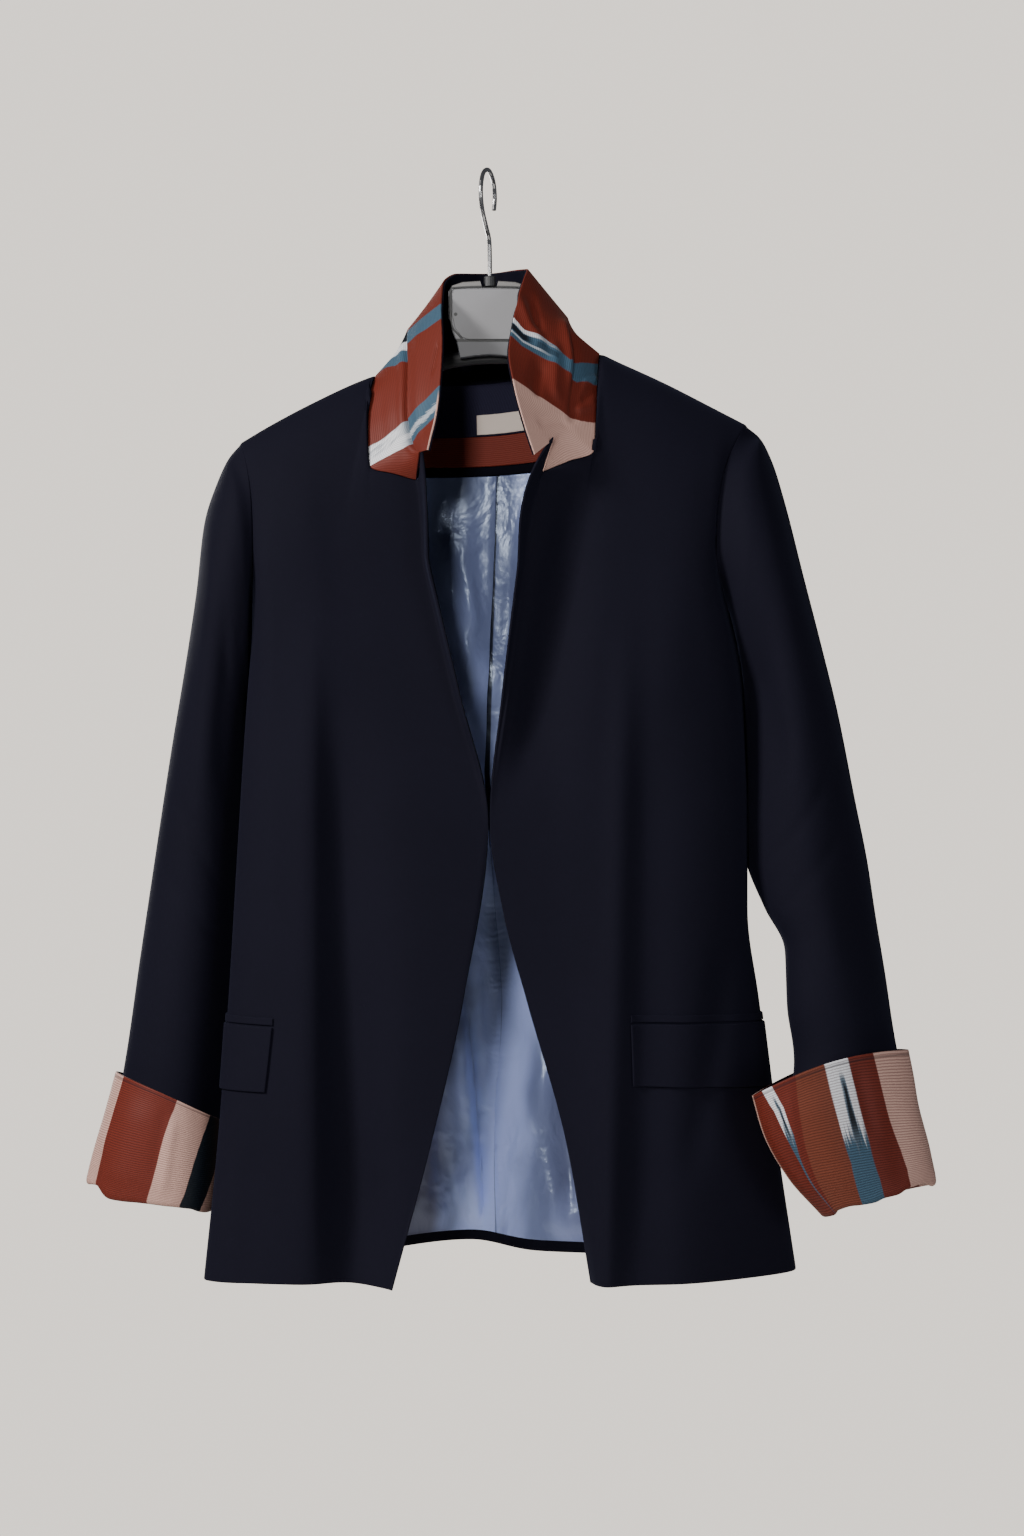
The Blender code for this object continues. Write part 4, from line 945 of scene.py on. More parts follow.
class Finish:
    """A material being built from nodes."""

    def __init__(self, name):
        self.material = bpy.data.materials.new(name)
        self.material.use_nodes = True
        self.tree = self.material.node_tree
        self.tree.nodes.clear()

    def node(self, kind, settings=None, inputs=None, out=0):
        """Any node: its settings first, then the numbers or links of its sockets."""
        node = self.tree.nodes.new("ShaderNode" + kind)
        for name, value in (settings or {}).items():
            if name == "points":
                curve = node.mapping.curves[0]
                while len(curve.points) < len(value):
                    curve.points.new(0.5, 0.5)
                for point, place in zip(curve.points, value):
                    point.location, point.handle_type = place, "VECTOR"
                node.mapping.update()
            else:
                setattr(node, name, value)
        for name, value in (inputs or {}).items():
            socket = node.inputs[name]
            if isinstance(value, Value):
                self.tree.links.new(value.socket, socket)
            elif np.ndim(value) and len(value) == 3 and socket.type == "RGBA":
                socket.default_value = (*value, 1)
            else:
                socket.default_value = value
        return Value(self.tree, node.outputs[out])

    def mix(self, factor, a, b):
        """Colour a where factor is 0 and b where it is 1."""
        return self.node("Mix", {"data_type": "RGBA"}, {0: factor, 6: a, 7: b}, out=2)

    def coats(self, tone, *coats):
        """A colour under coats of (how much, colour), one after another."""
        for factor, coat in coats:
            tone = self.mix(factor, tone, coat)
        return tone

    def between(self, value, low, high, start=0.0, end=1.0):
        """start below low, end above high, and an S between."""
        settings = {"interpolation_type": "SMOOTHSTEP"}
        inputs = {"Value": value, "From Min": low, "From Max": high, "To Min": start, "To Max": end}
        return self.node("MapRange", settings, inputs)

    def falling(self, value, low, high):
        """1 below low, 0 above high, and an S between."""
        return self.between(value, low, high, 1.0, 0.0)

    def within(self, value, a, b, c, d):
        """Rises from 0 to 1 between a and b, and falls back between c and d."""
        return self.between(value, a, b) * self.falling(value, c, d)

    def noise(self, vector, scale, detail=2.0, rough=0.5):
        """Soft noise, 0 to 1; rough is how strong its finer layers are."""
        inputs = {"Vector": vector, "Scale": scale, "Detail": detail, "Roughness": rough}
        return self.node("TexNoise", None, inputs)

    def streaks(self, x, y, detail=2.0, rough=0.5):
        """Noise on a plane, long where the number grows slowly."""
        return self.noise(self.node("CombineXYZ", None, {0: x, 1: y, 2: 0.0}), 1.0, detail, rough)

    def here(self):
        """Object coordinates in metres."""
        return self.node("TexCoord", None, None, out=3)

    def split(self, vector, axes):
        """These axes of a vector, by number."""
        return [self.node("SeparateXYZ", None, {0: vector}, out=axis) for axis in axes]

    def map(self, name):
        """The two numbers of one of the piece's own maps."""
        return self.split(self.node("UVMap", {"uv_map": name}), (0, 1))

    def vector(self, operation, a, b):
        """Two vectors added, or multiplied axis by axis."""
        return self.node("VectorMath", {"operation": operation}, {0: a, 1: b})

    def surface(self, bump, deep, strength, **sockets):
        """Ends the material with one shader, whose normal follows the bump height times deep."""
        inputs = {"Height": bump, "Distance": deep, "Strength": strength}
        sockets["Normal"] = self.node("Bump", None, inputs)
        names = {name.replace("_", " "): value for name, value in sockets.items()}
        shader = self.node("BsdfPrincipled", None, names)
        out = self.tree.nodes.new("ShaderNodeOutputMaterial")
        self.tree.links.new(shader.socket, out.inputs["Surface"])
        return self.material


@cache
def finish(name):
    """The material of this name, built the first time that it is asked for."""
    return FINISHES[name](Finish(name), bpy.context.scene.blazer_cloth)


def dim(colour, by):
    """A colour times a number, no channel above 1."""
    return tuple(min(c * by, 1) for c in colour)


def navy(f, tones):
    """Matte crepe: a fine broken twill of 0.7 mm, pale flecks where yarns turn, and slow unevenness."""
    across, down = f.map("cloth")
    here = f.here()
    twill = (across + down * 0.55).ripple(0.0007)
    grain = f.noise(here, 1900.0, 2.0, 0.6)
    slow = f.noise(here, 9.0, 3.0, 0.55)
    fleck = f.between(f.noise(here, 900.0, 1.0), 0.56, 0.72)
    deep = f.mix(slow, dim(tones.navy, 0.86), dim(tones.navy, 1.16))
    tone = f.coats(deep, (fleck * 0.22, dim(tones.navy, 1.9)), (twill * 0.12, dim(tones.navy, 0.5)))
    return f.surface(
        grain * 0.6 + twill * 0.4, 0.00012, 0.5, Base_Color=tone, Roughness=0.72 + grain * 0.16,
        Sheen_Weight=0.03, Sheen_Roughness=0.4, Sheen_Tint=(0.45, 0.5, 0.9, 1), Specular_IOR_Level=0.06,
    )


def silk(f, tone, across, down, depth=0.34):
    """Ribbed silk: painted shade between fine wavy ribs, threads along the warp, soft gloss on the ribs;
    depth sets how dark the painted shade is.
    """
    wander = f.streaks(across * 26.0, down * 26.0) * 0.0022
    fine = f.streaks(across * 700.0, down * 60.0, 1.0) * 0.0004
    rib = (down + wander + fine).ripple(0.0016)
    thread = f.streaks(across * 2600.0, down * 90.0, 1.0)
    slow = f.noise(f.here(), 26.0, 3.0, 0.6)
    hollow = 1.0 - rib
    # Painted shade: the hollows between the ribs are darkened towards this colour.
    shade = f.vector("MULTIPLY", tone, (0.22, 0.16, 0.16))
    tone = f.mix(hollow * hollow * depth + (1.0 - thread) * 0.22, tone, shade)
    return f.surface(
        rib * 0.7 + thread * 0.3, 0.00022, 0.55, Base_Color=tone,
        Roughness=0.50 + hollow * 0.14 + slow * 0.06, Specular_IOR_Level=0.22,
        Sheen_Weight=0.05, Sheen_Roughness=0.35, Sheen_Tint=(1, 0.6, 0.45, 1),
    )


def edge_at(f, along, points):
    """A stripe's border: the tabled position against how far along the stripe a point is."""
    return f.node("FloatCurve", {"points": [(a, b) for b, a in points]}, {"Value": along})


# Borders of the collar's stripes: s against t.
COLLAR_STRIPES = {
    "low_from": ((0.122, 0), (0.080, 0.38), (0.098, 0.65), (0.116, 1)),
    "low_to": ((0.158, 0), (0.146, 0.38), (0.160, 0.65), (0.176, 1)),
    "high_from": ((0.285, 0), (0.270, 0.15), (0.254, 0.27), (0.248, 0.39), (0.279, 0.41), (0.269, 1)),
    "high_to": ((0.330, 0), (0.330, 0.15), (0.330, 0.27), (0.332, 0.39), (0.329, 0.41), (0.302, 1)),
    "other_from": ((0.739, 0), (0.765, 0.265), (0.776, 0.4), (0.763, 0.65), (0.765, 0.88), (0.754, 1)),
    "other_to": ((0.776, 0), (0.793, 0.265), (0.792, 0.4), (0.793, 0.65), (0.795, 0.88), (0.789, 1)),
    "pink_from": ((0.826, 0), (0.858, 0.365), (0.864, 0.67), (0.871, 1)),
}
# Stripes down the cuffs: a tone and the turn where it starts, at some v from rim (0) to fold (1).
CUFF_STRIPES_RIGHT = (
    ("pink", ()),
    ("brick", ((0.088, 0), (0.075, 0.5), (0.062, 1))),
    ("pink", ((0.264, 0), (0.237, 0.41), (0.210, 1))),
    ("teal", ((0.377, 0), (0.325, 0.56), (0.292, 1))),
    ("pink", ((0.460, 0), (0.416, 0.64), (0.363, 1))),
    ("brick", ((0.540, 0), (0.520, 1))),
    ("dyed", ((0.620, 0), (0.600, 1))),
    ("brick", ((0.700, 0), (0.680, 1))),
    ("steel", ((0.800, 0), (0.790, 1))),
    ("brick", ((0.860, 0), (0.850, 1))),
    ("pink", ((0.940, 0), (0.930, 1))),
)
CUFF_STRIPES_LEFT = (
    ("pink", ()),
    ("brick", ((0.162, 0), (0.154, 0.36), (0.143, 0.66), (0.141, 0.83), (0.147, 1))),
    ("dyed", ((0.218, 0), (0.214, 0.22), (0.212, 0.58), (0.217, 0.85), (0.226, 1))),
    ("rust", ((0.265, 0), (0.262, 0.40), (0.264, 0.70), (0.287, 1))),
    ("brick", ((0.325, 0), (0.338, 0.4), (0.358, 0.75), (0.376, 1))),
    ("dyed_inner", ((0.385, 0), (0.367, 0.2), (0.360, 0.42), (0.371, 0.64), (0.379, 1))),
    ("brick", ((0.418, 0), (0.396, 0.2), (0.384, 0.42), (0.377, 0.64), (0.380, 1))),
    ("pink", ((0.470, 0), (0.470, 1))),
    ("brick", ((0.580, 0), (0.570, 1))),
    ("steel", ((0.700, 0), (0.690, 1))),
    ("brick", ((0.760, 0), (0.750, 1))),
    ("pink", ((0.900, 0), (0.890, 1))),
)


def collar_silk(f, tones):
    """The collar's stripes cross it from the neck seam to the free edge; three of them are warp-dyed,
    so their colour runs in streaks along the stripe."""
    across, down = f.map("cloth")
    s, t = f.map("collar")
    place = s + (f.streaks(s * 260.0, t * 4.0) - 0.5) * 0.006 * 0.35
    streak = f.streaks(s * 420.0, t * 6.0, 3.0, 0.6)
    blot = streak - 0.5

    def stripe(name):
        """1 inside the stripe, how far a place lies past its first border, and its part of the width."""
        low, high = (edge_at(f, t, COLLAR_STRIPES[f"{name}_{end}"]) for end in ("from", "to"))
        past = place - low
        inside = f.between(past, 0.0, 0.002) * f.between(high - place, 0.0, 0.002)
        return inside, past, past / (high - low)

    low, _, part = stripe("low")
    pale = f.falling((part - 0.4).size() * 2.0 + blot * 0.9, 0.14, 0.34)
    blue = f.between(t, 0.26, 0.44) * (1.0 - pale * 0.5)
    ghost = f.between(streak, 0.46, 0.62) * f.between(part, 0.35, 0.6) * 0.5
    low_tone = f.mix(blue.most(ghost), tones.white, tones.steel)

    high, past, _ = stripe("high")
    stand = f.falling(t, 0.395, 0.41)
    up = past + blot * 0.008
    white = stand * f.between(up, 0.022, 0.026) * f.falling(up, 0.046, 0.050)
    dark = stand * f.between(up, 0.047, 0.050)
    high_tone = f.coats(tones.steel, (white, tones.white), (dark, tones.teal))

    other, _, part = stripe("other")
    end = f.between(t + blot * 0.12, 0.76, 0.86)
    frost = f.falling(part, 0.20, 0.30) * f.between(t + blot * 0.3, 0.45, 0.85)
    frost = frost.most(f.falling((part - 0.70).size(), 0.03, 0.07) * f.between(t, 0.55, 0.75) * 0.6)
    ink = f.within(part, 0.26, 0.34, 0.56, 0.64) * end
    well = f.within(part, 0.36, 0.42, 0.62, 0.68) * f.between(t, 0.50, 0.54) * f.falling(t, 0.72, 0.76)
    other_tone = f.coats(tones.steel, (frost * 0.9, tones.white), (ink.most(well * 0.5), tones.teal))

    pink = f.between(place - edge_at(f, t, COLLAR_STRIPES["pink_from"]), 0.0, 0.002)
    piping = f.between(t, 0.978, 0.985) * f.falling(s, 0.15, 0.17)
    stripes = (low, low_tone), (high, high_tone), (other, other_tone), (pink.most(piping), tones.pink)
    return silk(f, f.coats(tones.brick, *stripes), s * 0.62, down + across * 0.12)


def cuff_silk(rows, dyed):
    """A cuff's finish. Each row is a stripe's tone and the turn where it starts, from rim to fold.
    dyed names the rows whose colour runs from white to steel blue down the stripe: where it turns,
    the middle of its dark core as a turn from the stripe's start, and the core's half width."""

    def build(f, tones):
        """The finish, from the maps that the cuff's piece has."""
        turn, v = f.map("cuff")
        fold = v.least(1.0)
        shiver = (f.streaks(turn * 90.0, v * 1.4) - 0.5) * 0.004
        blot = f.streaks(turn * 210.0, v * 1.6, 3.0, 0.6) - 0.5
        tone = getattr(tones, rows[0][0])
        for name, points in rows[1:]:
            start = edge_at(f, fold, points)
            if name in dyed:
                turns_at, middle, wide = dyed[name]
                off = (turn - start - middle).size() - fold * wide
                wet = f.between(fold + blot * 0.6, turns_at - 0.08, turns_at + 0.08)
                core = f.falling(off + blot * 0.008, 0.0015, 0.0045) * f.between(fold, 0.06, 0.14)
                ink = f.falling(off + blot * 0.006, -0.0008, 0.0020) * f.between(fold, 0.10, 0.20)
                ink = ink * f.falling(fold, turns_at - 0.10, turns_at + 0.16)
                shade = f.coats(tones.white, (wet.most(core * 0.9), tones.steel), (ink, tones.teal))
            else:
                shade = getattr(tones, name)
            tone = f.mix(f.between(turn + shiver - start, 0.0, 0.003), tone, shade)
        stitched = f.within(v, 0.020, 0.026, 0.032, 0.038)
        tone = f.mix(stitched * 0.55, tone, tones.navy)
        return silk(f, tone, turn * 0.26, v * 0.085, depth=0.6)

    return build


def brick_silk(f, tones):
    """The plain band inside the neck in the ground silk, its brick painted 1.7 to 2.3 times brighter:
    painted light against the shade inside the neck.
    """
    across, down = f.map("cloth")
    slow = f.noise(f.here(), 18.0, 2.0)
    # Painted light: the brick is brightened 1.7 to 2.3 times against the shade inside the neck.
    return silk(f, f.mix(slow, dim(tones.brick, 1.7), dim(tones.brick, 2.3)), across, down)


def satin(f, tones):
    """Lining satin: smooth floats with a cool gloss, drawn into soft wrinkles, with painted light on their
    crests and painted shade in their hollows.
    Along the centre seam, from the top, lie the pleat's mouth in painted shade, a pucker, and painted shade
    on both sides of a painted bright streak."""
    across, down = f.map("cloth")
    off, low = f.map("seam")
    here = f.here()
    sway = f.node("TexNoise", None, {"Vector": here, "Scale": 14.0, "Detail": 1.0}, out=1)
    bent = f.vector("ADD", here, f.vector("MULTIPLY", sway, (0.05, 0.05, 0.05)))
    long = f.noise(f.vector("MULTIPLY", bent, (20.0, 20.0, 5.0)), 1.0, 1.0, 0.4)
    short = f.noise(f.vector("MULTIPLY", bent, (110.0, 110.0, 80.0)), 1.0, 2.0, 0.4)
    thread = f.streaks(across * 300.0, down * 2600.0, 1.0)
    wave = long - 0.5

    near = f.falling(off.size(), 0.0, 0.012)
    pucker = (down + f.noise(here, 40.0) * 0.012).wave(0.0055) * near * near * f.between(low, 0.45, 0.55)
    # Painted shade: the pleat's mouth, a dark navy line down the seam that widens lower down.
    mouth = low * 0.006 + 0.0003
    pleat_mouth_shade = f.between(off, 0.0, 0.0004) * f.falling(off - mouth, 0.0, 0.0006) * f.falling(low, 0.46, 0.50)
    fall = f.between(low, 0.60, 0.72)
    # Painted shade: low on the lining, darker towards the wearer's right side and further out on the
    # wearer's left of the seam.
    behind = f.falling(off + (low - 0.8) * 0.06 + wave * 0.03, -0.040, -0.018)
    shade_beside = f.between(off + wave * 0.02, 0.020, 0.062) * 0.6
    # Painted highlight: a bright streak just on the wearer's right of the seam, low on the lining.
    streak = f.between(f.streaks(off * 90.0, down * 26.0), 0.42, 0.72)
    gleam = f.within(off, -0.036, -0.020, -0.007, -0.001) * streak
    stitched = f.falling(off.size(), 0.0003, 0.0009) * fall

    tone = f.coats(
        dim(tones.satin_blue, 0.50),
        # painted light on the wrinkles' crests, painted shade in their hollows
        (f.between(long, 0.36, 0.64), dim(tones.satin_blue, 1.3)),
        (thread * 0.10, dim(tones.satin_blue, 0.6)),
        (behind.most(shade_beside) * fall * 0.85, (0.075, 0.062, 0.095)),
        (gleam * fall * 0.6, (0.44, 0.56, 1.0)),
        (stitched * 0.55, tones.navy),
        (pleat_mouth_shade * 0.97, tones.navy),
    )
    return f.surface(
        long * 0.82 + short * 0.11 + thread * 0.002 + pucker * 0.007, 0.016, 0.7, Base_Color=tone,
        Roughness=0.28 + thread * 0.08, Specular_IOR_Level=0.8, Specular_Tint=(0.68, 0.80, 1, 1),
        Sheen_Weight=0.1, Sheen_Roughness=0.3,
    )


def neck_ribbed(f, tones):
    """The shell cloth as it shows inside the neck, with fine upright ribs; its navy is painted 2.5 to 5
    times brighter, painted light against the shade inside the neck.
    """
    across, _ = f.map("cloth")
    rib = (across + f.noise(f.here(), 60.0) * 0.0006).ripple(0.0022)
    grain = f.noise(f.here(), 1900.0, 2.0, 0.6)
    # Painted light: the navy is brightened 2.5 to 5 times against the shade inside the neck.
    tone = f.mix(rib * 0.35, dim(tones.navy, 5.0), dim(tones.navy, 2.5))
    return f.surface(
        rib * 0.7 + grain * 0.3, 0.0003, 0.5, Base_Color=tone, Roughness=0.7 + grain * 0.15,
        Sheen_Weight=0.06, Sheen_Roughness=0.45, Sheen_Tint=(0.55, 0.6, 0.8, 1), Specular_IOR_Level=0.1,
    )


def woven_label(f, tones):
    """A bare woven label: a close plain weave of 0.6 mm."""
    across, down = f.map("cloth")
    weave = across.wave(0.0006) * down.wave(0.0006) * 0.5 + 0.5
    stain = f.noise(f.here(), 120.0, 2.0)
    tone = f.mix(weave * 0.12 + stain * 0.10, tones.cream, (0.62, 0.50, 0.42))
    return f.surface(weave, 0.0001, 0.5, Base_Color=tone, Roughness=0.6 + weave * 0.15, Sheen_Weight=0.2)


def chrome(f, tones):
    """Plated wire with faint rubbing along it."""
    here = f.here()
    rub = f.noise(f.vector("MULTIPLY", here, (900.0, 900.0, 60.0)), 1.0, 2.0)
    wear = f.noise(here, 160.0, 3.0)
    tone = f.mix(wear, (0.50, 0.50, 0.51), (0.66, 0.66, 0.66))
    rough = 0.14 + rub * 0.08 + wear * 0.04
    return f.surface(rub, 0.00001, 0.1, Base_Color=tone, Metallic=1.0, Roughness=rough)


def grey_plastic(f, tones):
    """Moulded plastic: a fine even grain and a few paler rubs, with a dark line of painted shade in the
    groove round the plate's recessed face, a darker foot and top, and one small dark dot."""
    here = f.here()
    grain = f.noise(here, 1400.0, 2.0)
    slow = f.noise(here, 22.0, 2.0)
    x, z = f.split(here, (0, 2))
    side = (x - 0.001).size()
    bend = f.between(z, -0.116, -0.134)
    out = side + bend * bend * 0.0095
    foot = f.falling(z, -0.1350, -0.1345)
    rise = z + side * side * 1.3
    # Painted shade: the groove round the plate's recessed face is drawn as a near-black line.
    line = f.within(out, 0.0292, 0.0295, 0.0316, 0.0319) * (1.0 - foot)
    line = line.most(f.within(z, -0.1350, -0.1347, -0.1325, -0.1322))
    line = line.most(f.within(rise, -0.0922, -0.0920, -0.0905, -0.0903))
    dot = ((x + 0.0255) * (x + 0.0255) + (z + 0.1130) * (z + 0.1130)) * 1000000.0
    tone = f.coats(
        (0.185, 0.182, 0.192),
        (slow, (0.215, 0.212, 0.222)),
        (foot, (0.105, 0.106, 0.116)),
        (f.between(rise, -0.0905, -0.0903) * 0.7, (0.13, 0.12, 0.11)),
        (line.most(f.falling(dot, 1.4, 2.6)), (0.004, 0.004, 0.005)),
    )
    rough = 0.38 + grain * 0.14 + slow * 0.06
    return f.surface(grain, 0.00003, 0.5, Base_Color=tone, Roughness=rough)


def dark_plastic(f, tones):
    """Moulded plastic, nearly black, with a fine even grain."""
    here = f.here()
    grain = f.noise(here, 1400.0, 2.0)
    tone = f.mix(f.noise(here, 30.0, 2.0), (0.012, 0.012, 0.014), (0.024, 0.024, 0.027))
    return f.surface(grain, 0.00004, 0.5, Base_Color=tone, Roughness=0.42 + grain * 0.16)


def floor_paint(f, tones):
    """Matte studio floor with a trace of unevenness."""
    slow = f.noise(f.here(), 3.0, 3.0)
    tone = f.mix(slow, (0.60, 0.585, 0.56), (0.66, 0.645, 0.62))
    return f.surface(f.noise(f.here(), 400.0), 0.0002, 0.3, Base_Color=tone, Roughness=0.75 + slow * 0.1)


FINISHES = {
    "navy_crepe": navy,
    "collar_silk": collar_silk,
    "cuff_right_silk": cuff_silk(CUFF_STRIPES_RIGHT, {"dyed": (0.3, 0.04, 0.01)}),
    "cuff_left_silk": cuff_silk(
        CUFF_STRIPES_LEFT, {"dyed": (0.50, 0.022, 0.010), "dyed_inner": (0.40, 0.013, 0.004)}
    ),
    "brick_silk": brick_silk,
    "lining_satin": satin,
    "neck_ribbed": neck_ribbed,
    "woven_label": woven_label,
    "chrome": chrome,
    "grey_plastic": grey_plastic,
    "dark_plastic": dark_plastic,
    "floor": floor_paint,
}


# ---- the pieces --------------------------------------------------------------------------------

SLIT, WIDE_SLIT = 0.0002, 0.0003  # what two borders stand apart, in u or v
FACING_U, FACING_V = (0.025, 0.20), (0.017, 0.94)
FLAP_V, WELT_V = (0.684, 0.763), (0.6735, 0.6815)
# What is added to a flap's v at its top and foot, each by the front edge and by the side seam.
FLAP_TILT = {"right": (0.0070, 0.0014, 0.0008, -0.0042), "left": (0.0038, 0.0024, -0.0047, -0.0047)}
FLAP_LEAN = 0.010  # added to the u of a flap's front end at its foot
FLAP_U = {"right": (0.70, 0.97), "left": (0.508, 0.91)}
NECK_U = (0.385, 0.615)
NECK_V = (0.0769, 0.0978, 0.1035)  # the borders between neck facing, band, edging and lining
LABEL_U, LABEL_V = (0.487, 0.545), (0.0589, 0.0755)
LINING_U, LINING_FOOT = (0.06, 0.94), 0.985
LINING_GAP = 0.1  # how far each half of the lining ends from their seam, in mm
HELD_TOP, HELD_FOOT = 0.05, 0.03  # over how much v the lining's slack grows, from its top and foot
SEAM_AT = (0, 0.35, 0.55, 0.8, 1)  # parts of the way down the lining's centre seam
SEAM_U = (0.509, 0.495, 0.510, 0.524, 0.542)
PLEAT_AT, PLEAT = (0.10, 0.16, 0.43, 0.52, 0.58), (0.0, 1.6, 4.5, 3.0, 0.0)  # its depth in mm by v
COLLAR_FOOT = 0.003  # t where the outer collar layer starts
TIP_GAP = 4.2  # how far the collar ends from its tips, in mm
TURN_IN = 0.03  # the part of the inner collar layer's width that is turned under the neck seam
SLEEVE_LONG = 600  # mm, rounded
UNDER_TURN, UNDER_WIDE = 0.016, 0.09  # how much of a sleeve is turned in at the underarm, over what turn

# Each piece or kind of piece: its flat cut's width and length in metres and area in square metres,
# and the lines of its grid across and down.
PATTERN = {
    "front": (0.27, 0.72, 0.158, 130, 178),
    "facing": (0.035, 0.61, 0.0165, 20, 150),
    "back": (0.50, 0.73, 0.310, 140, 152),
    "sleeve": (0.31, 0.62, 0.145, 112, 190),
    "cuff_right": (0.29, 0.18, 0.048, 130, 100),
    "cuff_left": (0.33, 0.24, 0.072, 130, 100),
    "collar": (0.52, 0.10, 0.036, 264, 76),
    "flap_right": (0.118, 0.053, 0.0061, 60, 34),
    "flap_left": (0.157, 0.053, 0.0082, 60, 34),
    "welt_right": (0.118, 0.010, 0.0007, 60, 8),
    "welt_left": (0.157, 0.010, 0.0009, 60, 8),
    "neck_facing": (0.155, 0.054, 0.0072, 90, 30),
    "neck_band": (0.160, 0.026, 0.0039, 90, 30),
    "neck_edging": (0.160, 0.010, 0.0011, 90, 8),
    "label": (0.036, 0.018, 0.00058, 40, 20),
    "lining": (0.220, 0.640, 0.125, 100, 170),
}


def pattern(name):
    """A piece's row of the table, or the one of its kind, the first word of its name."""
    return PATTERN.get(name) or PATTERN[name.split("_")[0]]


def dress(name, cloth, u, v, near, far, look="navy_crepe", laid=None, back=None):
    """Cuts a piece out of a surface between its borders, from near to far off it, and sews it in
    place of its solid. laid names a map with the surface's own u and v."""
    u, v = patch(cloth, u, v, pattern(name)[3:])
    piece = Piece(f"{name}_cloth", cloth, *cloth.read(u, v), near, far)
    if laid:
        piece.lay(laid, u, v)
    piece.sew(look, back)


class BLAZER_OT_fronts(bpy.types.Operator):
    """Both fronts, each with the facing inside its edge"""

    bl_idname = "blazer.fronts"
    bl_label = "Fronts and facings"

    def execute(self, context):
        own = context.scene.blazer_cloth
        shell, seam = own.shell / MM, own.seam / MM
        for side in SIDES:
            cloth = front(side)
            bare = 1 - seam / 4 / cloth.width(0.5)
            under = -shell - GAP
            dress(f"front_{side}", cloth, (0.0, bare), (SLIT, 1.0), 0, -shell)
            dress(f"facing_{side}", cloth, FACING_U, FACING_V, under, under - FACING)
        return {"FINISHED"}


class BLAZER_OT_pockets(bpy.types.Operator):
    """A welt and a flap on each front"""

    bl_idname = "blazer.pockets"
    bl_label = "Pocket flaps and welts"

    def execute(self, context):
        for side in SIDES:
            (a, b, c, d), (first, last) = FLAP_TILT[side], FLAP_U[side]
            for part, (high, low), thick in (("flap", FLAP_V, FLAP), ("welt", WELT_V, WELT)):
                flap = part == "flap"
                top = lambda w: high + a + (b - a) * w
                foot = lambda w: low + c + (d - c) * w if flap else top(w) + low - high
                start = lambda w: first + FLAP_LEAN * w * flap
                dress(
                    f"{part}_{side}", front(side), (start, last), (top, foot), GAP + thick, GAP,
                )
        return {"FINISHED"}


class BLAZER_OT_back(bpy.types.Operator):
    """The back"""

    bl_idname = "blazer.back"
    bl_label = "Back"

    def execute(self, context):
        own = context.scene.blazer_cloth
        bare = own.seam / MM / 4 / back().width(0.5)
        dress("back", back(), (bare, 1 - bare), (WIDE_SLIT, 1.0), 0, -own.shell / MM)
        return {"FINISHED"}


class BLAZER_OT_sleeves(bpy.types.Operator):
    """Both sleeves"""

    bl_idname = "blazer.sleeves"
    bl_label = "Sleeves"

    def execute(self, context):
        own = context.scene.blazer_cloth
        top = lambda turn: own.seam / MM / SLEEVE_LONG - UNDER_TURN * bell((turn - 0.5) / UNDER_WIDE)
        for side in SIDES:
            name, under = f"sleeve_{side}", f"front_{side}_cloth"
            dress(name, sleeve(side), (0.0, 1.0), (top, 1.0), 0, -own.shell / MM)
        return {"FINISHED"}


class BLAZER_OT_cuffs(bpy.types.Operator):
    """Both turned-back cuffs, striped outside"""

    bl_idname = "blazer.cuffs"
    bl_label = "Turned-back cuffs"

    def execute(self, context):
        half = context.scene.blazer_cloth.cuff_layer / MM / 2
        for side in SIDES:
            cloth = cuff(side)
            dress(
                f"cuff_{side}", cloth, (0.0, 1.0), (0.0, cloth.v[-1]), half, -half,
                f"cuff_{side}_silk", "cuff", "navy_crepe",
            )
        return {"FINISHED"}


class BLAZER_OT_collar(bpy.types.Operator):
    """The standing collar: striped silk outside, shell cloth inside"""

    bl_idname = "blazer.collar"
    bl_label = "Collar"

    def execute(self, context):
        layer = context.scene.blazer_cloth.collar_layer / MM
        cloth = collar()
        tip = TIP_GAP / cloth.width(0.5)
        for name, foot, near, look, slot in (
            ("collar_under", COLLAR_FOOT, 0.0, "collar_silk", "striped_cloth"),
            ("collar_top", -TURN_IN, -layer - GAP, "navy_crepe", "navy_cloth"),
        ):
            u, v = (tip, 1 - tip), (foot, 1.0)
            dress(name, cloth, u, v, near, near - layer, look, "collar")
        return {"FINISHED"}


class BLAZER_OT_neck(bpy.types.Operator):
    """Inside of the back neck: facing, band, edging and a bare label"""

    bl_idname = "blazer.neck"
    bl_label = "Inside neck"

    def execute(self, context):
        cloth, under = back(), -context.scene.blazer_cloth.shell / MM - GAP
        over = under - FACING
        for name, top, foot, look, slot in (
            ("neck_facing", 2 * WIDE_SLIT, NECK_V[0], "neck_ribbed", "navy_cloth"),
            ("neck_band", NECK_V[0] + SLIT, NECK_V[1], "brick_silk", "brick_cloth"),
            ("neck_edging", NECK_V[1] + SLIT, NECK_V[2], "navy_crepe", "navy_cloth"),
        ):
            dress(name, cloth, NECK_U, (top, foot - SLIT), under, over, look)
        under, over = over - GAP, over - GAP - TAPE
        dress("label", cloth, LABEL_U, LABEL_V, under, over, "woven_label")
        return {"FINISHED"}


